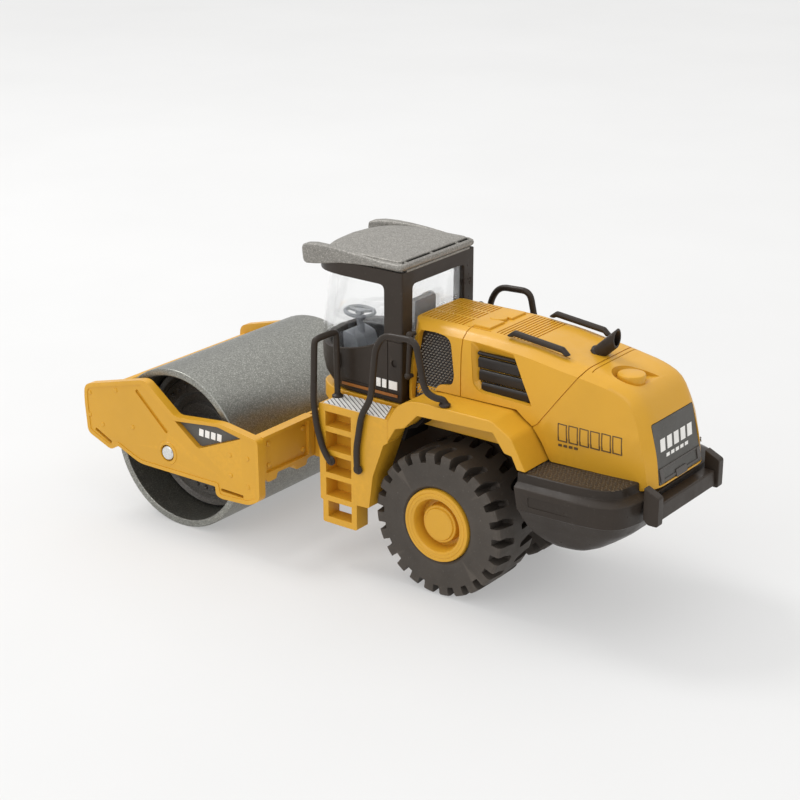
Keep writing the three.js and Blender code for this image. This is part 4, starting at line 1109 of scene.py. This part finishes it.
rim_levels = [(1.2, 79.45), (0.5, 79.6), (0.1, 80.0), (0.0, 80.5), (0.15, 81.1), (0.6, 81.45), (1.2, 81.5)]
cap_edge = roof_plan(1.25, 0)
cap_rings = [[Vector((p.x * k, -3.7 + (p.y + 3.7) * k, z)) for p in cap_edge] for k, z in (
    (1, 81.2), (0.995, 81.7), (0.97, 81.98), (0.88, 82.14), (0.7, 82.26), (0.45, 82.34), (0.15, 82.36))]
roof = mesh_object("roof_cap", loft([roof_plan(*level) for level in rim_levels]), ROOF_PAINT)
SLOT_ENDS = ((13.3, 14.3), (2.5, 12.3), (-8.6, 1.5), (-14.2, -9.6))
slots = [box(x0, x1, CAB_REAR - 1.35, CAB_REAR - 0.65, 80.5, 84) for x0, x1 in SLOT_ENDS]
cap_top = mesh_object("roof_top", loft(cap_rings), ROOF_PAINT)
boolean(cap_top, merged([box(x0, x1, CAB_REAR - 1.35, CAB_REAR + 1, 80.5, 84) for x0, x1 in SLOT_ENDS]))
boolean(roof, merged(slots))


def roof_fin():
    """A horn that rises along the roof's edge to its front corner."""
    rings = []
    for y, x0, x1, z0, z1 in (
        (5, 15.0, 15.7, 79.9, 81.2), (1, 14.8, 15.95, 79.5, 81.7), (-4, 14.4, 16.1, 79.2, 82.1),
        (-9, 13.9, 16.0, 78.6, 82.4),
        (-13.5, 13.2, 15.8, 77.6, 82.5), (-17.4, 12.6, 15.6, 76.9, 82.3), (-20.2, 12.3, 15.3, 76.5, 81.8),
        (-21.1, 12.4, 15.0, 76.7, 81.4), (-21.5, 12.8, 14.7, 77.3, 80.8)):
        lean = 0.5 * (z1 - z0) / 4.6
        ring = outline([(x0, z0, 0.4), (x1 - lean, z0, 0.5), (x1, z1 - 0.3, 0.5), (x1 - 0.5, z1, 0.4),
                        (x0 + 0.5, z1, 0.4),
                        (x0, z1 - 0.4, 0.4)], 3)
        rings.append([Vector((p.x, y, p.y)) for p in ring])
    return loft(rings)


skirt = [box(-13.4, 13.4, 9.4, 10.75, 77.7, 79.7), box(-12.8, 12.8, 9.2, 10.45, 76.7, 78.0)]
piece("roof_cap", merged([taken(roof), taken(cap_top), roof_fin(), flip(roof_fin())] + skirt), ROOF_PAINT,
      "chassis", "roof",
      bevel=0.12, angle=40)


# ------------------------------------------------------------------ deck strips and wheel wells
def deck_strip():
    plan = [(16.2, -7.5), (23.7, -7.8), (23.7, 11.6), (16.2, 8.0)]
    ob = mesh_object("strip", prism("z", plan, DECK, DECK + 0.32), HATCH)
    lines = []
    for k in range(18):
        y = -20.0 + k * 1.75
        lines.append(prism("z", ((15, y), (15, y + 0.5), (25, y + 14.5), (25, y + 14)), DECK + 0.12,
            DECK + 1))
    boolean(ob, merged(lines))
    return taken(ob)


def deck_lines():
    plan = [(16.4, -7.3), (23.5, -7.6), (23.5, 11.2), (16.4, 7.8)]
    return prism("z", plan, DECK + 0.02, DECK + 0.16)


paired("deck_hatch", deck_strip, HATCH, "chassis", bevel=0)
paired("deck_hatch_base", deck_lines, DARK_PRINT_AND_SHADE, "chassis", bevel=0)

# a dark sheet under each fender: painted shade standing in for the shadow in the wheel well
well = [(a + AXLE_Y, DECK + b) for a, b in (
    (-13.2, -6.2), (-11.6, -2.0), (-8.8, -1.1), (-4.9, 3.0), (16.9, 3.8), (20.2, -0.4), (22.8, -0.7),
    (24.4, -3.6),
    (23.6, -4.2), (22.4, -1.5), (19.8, -1.2), (16.4, 3.0), (-4.6, 2.2), (-8.4, -2.0), (-11.0, -2.9),
    (-12.3, -6.4))]
paired("wheel_well", lambda: prism("x", well, 9.6, 19.5), DARK_PRINT_AND_SHADE, "chassis", bevel=0.1)


# ------------------------------------------------------------------ rails
RAIL_R = 0.85


def flange(x, y, z, axis="z", radius=1.45):
    shares = [(0.3, 0), (0.3, 0.85), (0.5, 1), (0.9, 1), (1.3, 0.62), (1.6, 0.55), (1.6, 0)]
    bm = lathe([(v, share * radius) for v, share in shares], (0, 0, 0), axis, 24)
    bm.transform(Matrix.Translation((x * MM, y * MM, z * MM)))
    return bm


def rail_points(points):
    return [(x, AXLE_Y + a, DECK + b) for x, a, b in points]


FRONT_RAIL = rail_points([(25, -31.6, -14.7), (25, -32.4, -14.0), (25, -34, -11.6), (25, -35.8, -6.2),
    (25, -36.7, 0.4),
                          (25, -36.2, 15.8), (24.6, -36, 16.9), (18.9, -34.5, 17.6), (18.5, -34.3, 16.7),
                          (18.5, -34.1, 0.3)])
REAR_RAIL = rail_points([(25, -22.9, -15.0), (25, -23.1, -9.5), (25, -21.4, 0.1), (25, -18.4, 5),
    (25, -16.9, 18.6),
                         (25, -14.2, 22.4), (25, -4.8, 22.8), (25, -2, 10.6), (24.4, 0.6, 9.2),
                         (23.2, 2.4, 8.9),
                         (23.1, 2.6, 7.4)])
paired("front_rail", lambda: merged([
    rod(FRONT_RAIL, RAIL_R, 2.2, 16), flange(24.0, *FRONT_RAIL[0][1:], "x", 1.3),
    flange(18.5, FRONT_RAIL[-1][1], DECK - 0.2)]),
    BLACK, "chassis", "handrail_front", bevel=0)
paired("rear_rail", lambda: merged([
    rod(REAR_RAIL, RAIL_R, 2.4, 16), flange(24.0, *REAR_RAIL[0][1:], "x", 1.3),
    flange(23.1, REAR_RAIL[-1][1], 51.0)]),
    BLACK, "chassis", "handrail_rear", bevel=0)


def ball(x, y, z, radius):
    profile = [(radius * math.cos(math.pi * k / 10),
                radius * math.sin(math.pi * k / 10)) for k in range(11)]
    return lathe(profile, (x, y, z), "x", 20)


GRAB = rail_points([(13.6, -13.3, 20.1), (15.4, -13.6, 20.0), (15.7, -13.9, 9.3), (14.2, -13.7, 9.1)])
paired("grab_rod", lambda: merged([rod(GRAB, 0.62, 0.9, 12), ball(*GRAB[1], 0.95), ball(*GRAB[2], 0.95)]),
       BLACK,
       "chassis", "grab_bar", bevel=0)


# ------------------------------------------------------------------ counterweight
# plan: (half width, behind the axle); levels: (height, inset, rear end, front pulled back)
WEIGHT_FRONT, WEIGHT_REAR = 24.8, 53.5
WEIGHT = outline([(26.2, 24.8), (26.2, 30, 3), (25.6, 42, 4), (24.4, 48.8, 3.5), (21.6, 52.0, 3),
                  (15.5, 53.4, 1), (0, 53.5)], 6)
LEVELS = [(40.2, 2.0, 50.6, 0), (40.0, 1.75, 50.9, 0), (38.2, 1.7, 51.0, 0), (37.95, 1.6, 51.1, 0),
          (37.0, 0.15, 53.3, 0),
          (36.7, 0, 53.5, 0.1), (31.2, 0.7, 52.9, 0.6), (30.8, 1.1, 52.5, 0.8), (28.4, 2.2, 51.4, 1.4),
          (26.5, 3.2, 49.4, 2.2), (24.8, 4.0, 47.3, 3.6), (23.2, 4.9, 44.9, 6.0), (22.0, 6.0, 42.2, 8.6),
          (21.4, 7.4, 39.8, 10.6)]


def weight_ring(z, inset, rear, front):
    """The counterweight's plan at height z, narrower by inset and ending at rear."""
    half = []
    for p in WEIGHT:
        share = (p.y - WEIGHT_FRONT) / (WEIGHT_REAR - WEIGHT_FRONT)
        y = WEIGHT_FRONT + front + (rear - WEIGHT_FRONT - front) * share
        half.append((max(0.0, p.x - inset * min(1, p.x / 8)), AXLE_Y + y))
    ring = [Vector((x, y, z)) for x, y in half]
    return ring + [Vector((-v.x, v.y, v.z)) for v in reversed(ring[:-1])]


weight = mesh_object("weight", loft([weight_ring(*level) for level in LEVELS]), BLACK)
INSET_FRAME = side_frame((25.9, AXLE_Y + 27.6, 33.0), (-0.04, 1, 0), (0.1, 0, 1))
INSET_POINTS = [(1.0, -0.4, 0.5), (14.0, -0.4, 0.5), (14.0, 2.4, 0.5), (1.0, 2.4, 0.5)]
boolean(weight, pocket(INSET_POINTS, INSET_FRAME, -0.25, 6))
piece("weight_block", weight, GLOSS, "chassis", "counterweight", bevel=0.15, angle=35)


def tread_bumps():
    parts = []
    edge = [(p.y, p.x) for p in WEIGHT]
    for i in range(12):
        for j in range(26):
            x = 13.6 + i * 1.05
            y = 25.6 + j * 0.98 + (0.49 if i % 2 else 0)
            if x > along(edge, y) - 2.8 or y > 49.8 or x < hood_side(y, 40.5) + 0.5:
                continue
            turned = 0.8 if (i + j) % 2 else -0.8
            place = Matrix.Translation((x, AXLE_Y + y, 40.15)) @ Matrix.Rotation(turned, 4, "Z")
            foot_ = [Vector(p) for p in ((-0.42, -0.16), (0.42, -0.16), (0.42, 0.16), (-0.42, 0.16))]
            parts.append(loft([at_height([p * k for p in foot_], z) for z, k in ((0, 1), (0.22, 0.55))],
                matrix=place))
    return merged(parts)


paired("tread_grip", tread_bumps, TREAD, "chassis", bevel=0)

# ------------------------------------------------------------------ floor and light
floor = mesh_object("floor", box(-3000, 3000, -3000, 3000, -1, 0), TRIM)
paper = Nodes("paper")
floor.data.materials[0] = paper.into(
    Base_Color=paper.ramp(paper.noise(8, 3),
        [(0.3, (0.42, 0.42, 0.417, 1)), (0.7, (0.44, 0.44, 0.437, 1))]),
    Roughness=0.9,
    Emission_Color=(1.0, 0.995, 0.99, 1),
    Emission_Strength=0.345,
)

# a white room that is darker towards the horizon
world = bpy.data.worlds.new("soft_room")
world.use_nodes = True
tree = world.node_tree
sky, split, fade = (tree.nodes.new("ShaderNode" + kind) for kind in ("TexCoord", "SeparateXYZ", "ValToRGB"))
tree.links.new(sky.outputs["Generated"], split.inputs[0])
fade.color_ramp.elements[0].color = (0.4, 0.4, 0.4, 1)
fade.color_ramp.elements[1].color = (1.0, 1.0, 1.0, 1)
fade.color_ramp.elements[1].position = 0.75
tree.links.new(split.outputs["Z"], fade.inputs["Fac"])
tree.links.new(fade.outputs["Color"], tree.nodes["Background"].inputs["Color"])
tree.nodes["Background"].inputs["Strength"].default_value = 1.15
bpy.context.scene.world = world


def area_light(name, spot, target, size, power):
    data = bpy.data.lights.new(name, "AREA")
    data.shape = "DISK"
    data.size = size
    data.energy = power
    ob = bpy.data.objects.new(name, data)
    spot = Vector(spot)
    ob.location = spot
    ob.rotation_euler = (Vector(target) - spot).to_track_quat("-Z", "Y").to_euler()
    bpy.context.collection.objects.link(ob)


area_light("key", (0.02, -0.5, 0.75), (0, 0, 0.03), 0.3, 2.6)
area_light("fill", (0.75, -0.1, 0.4), (0, 0, 0.03), 0.6, 1.3)
bpy.context.scene.view_settings.view_transform = "Standard"
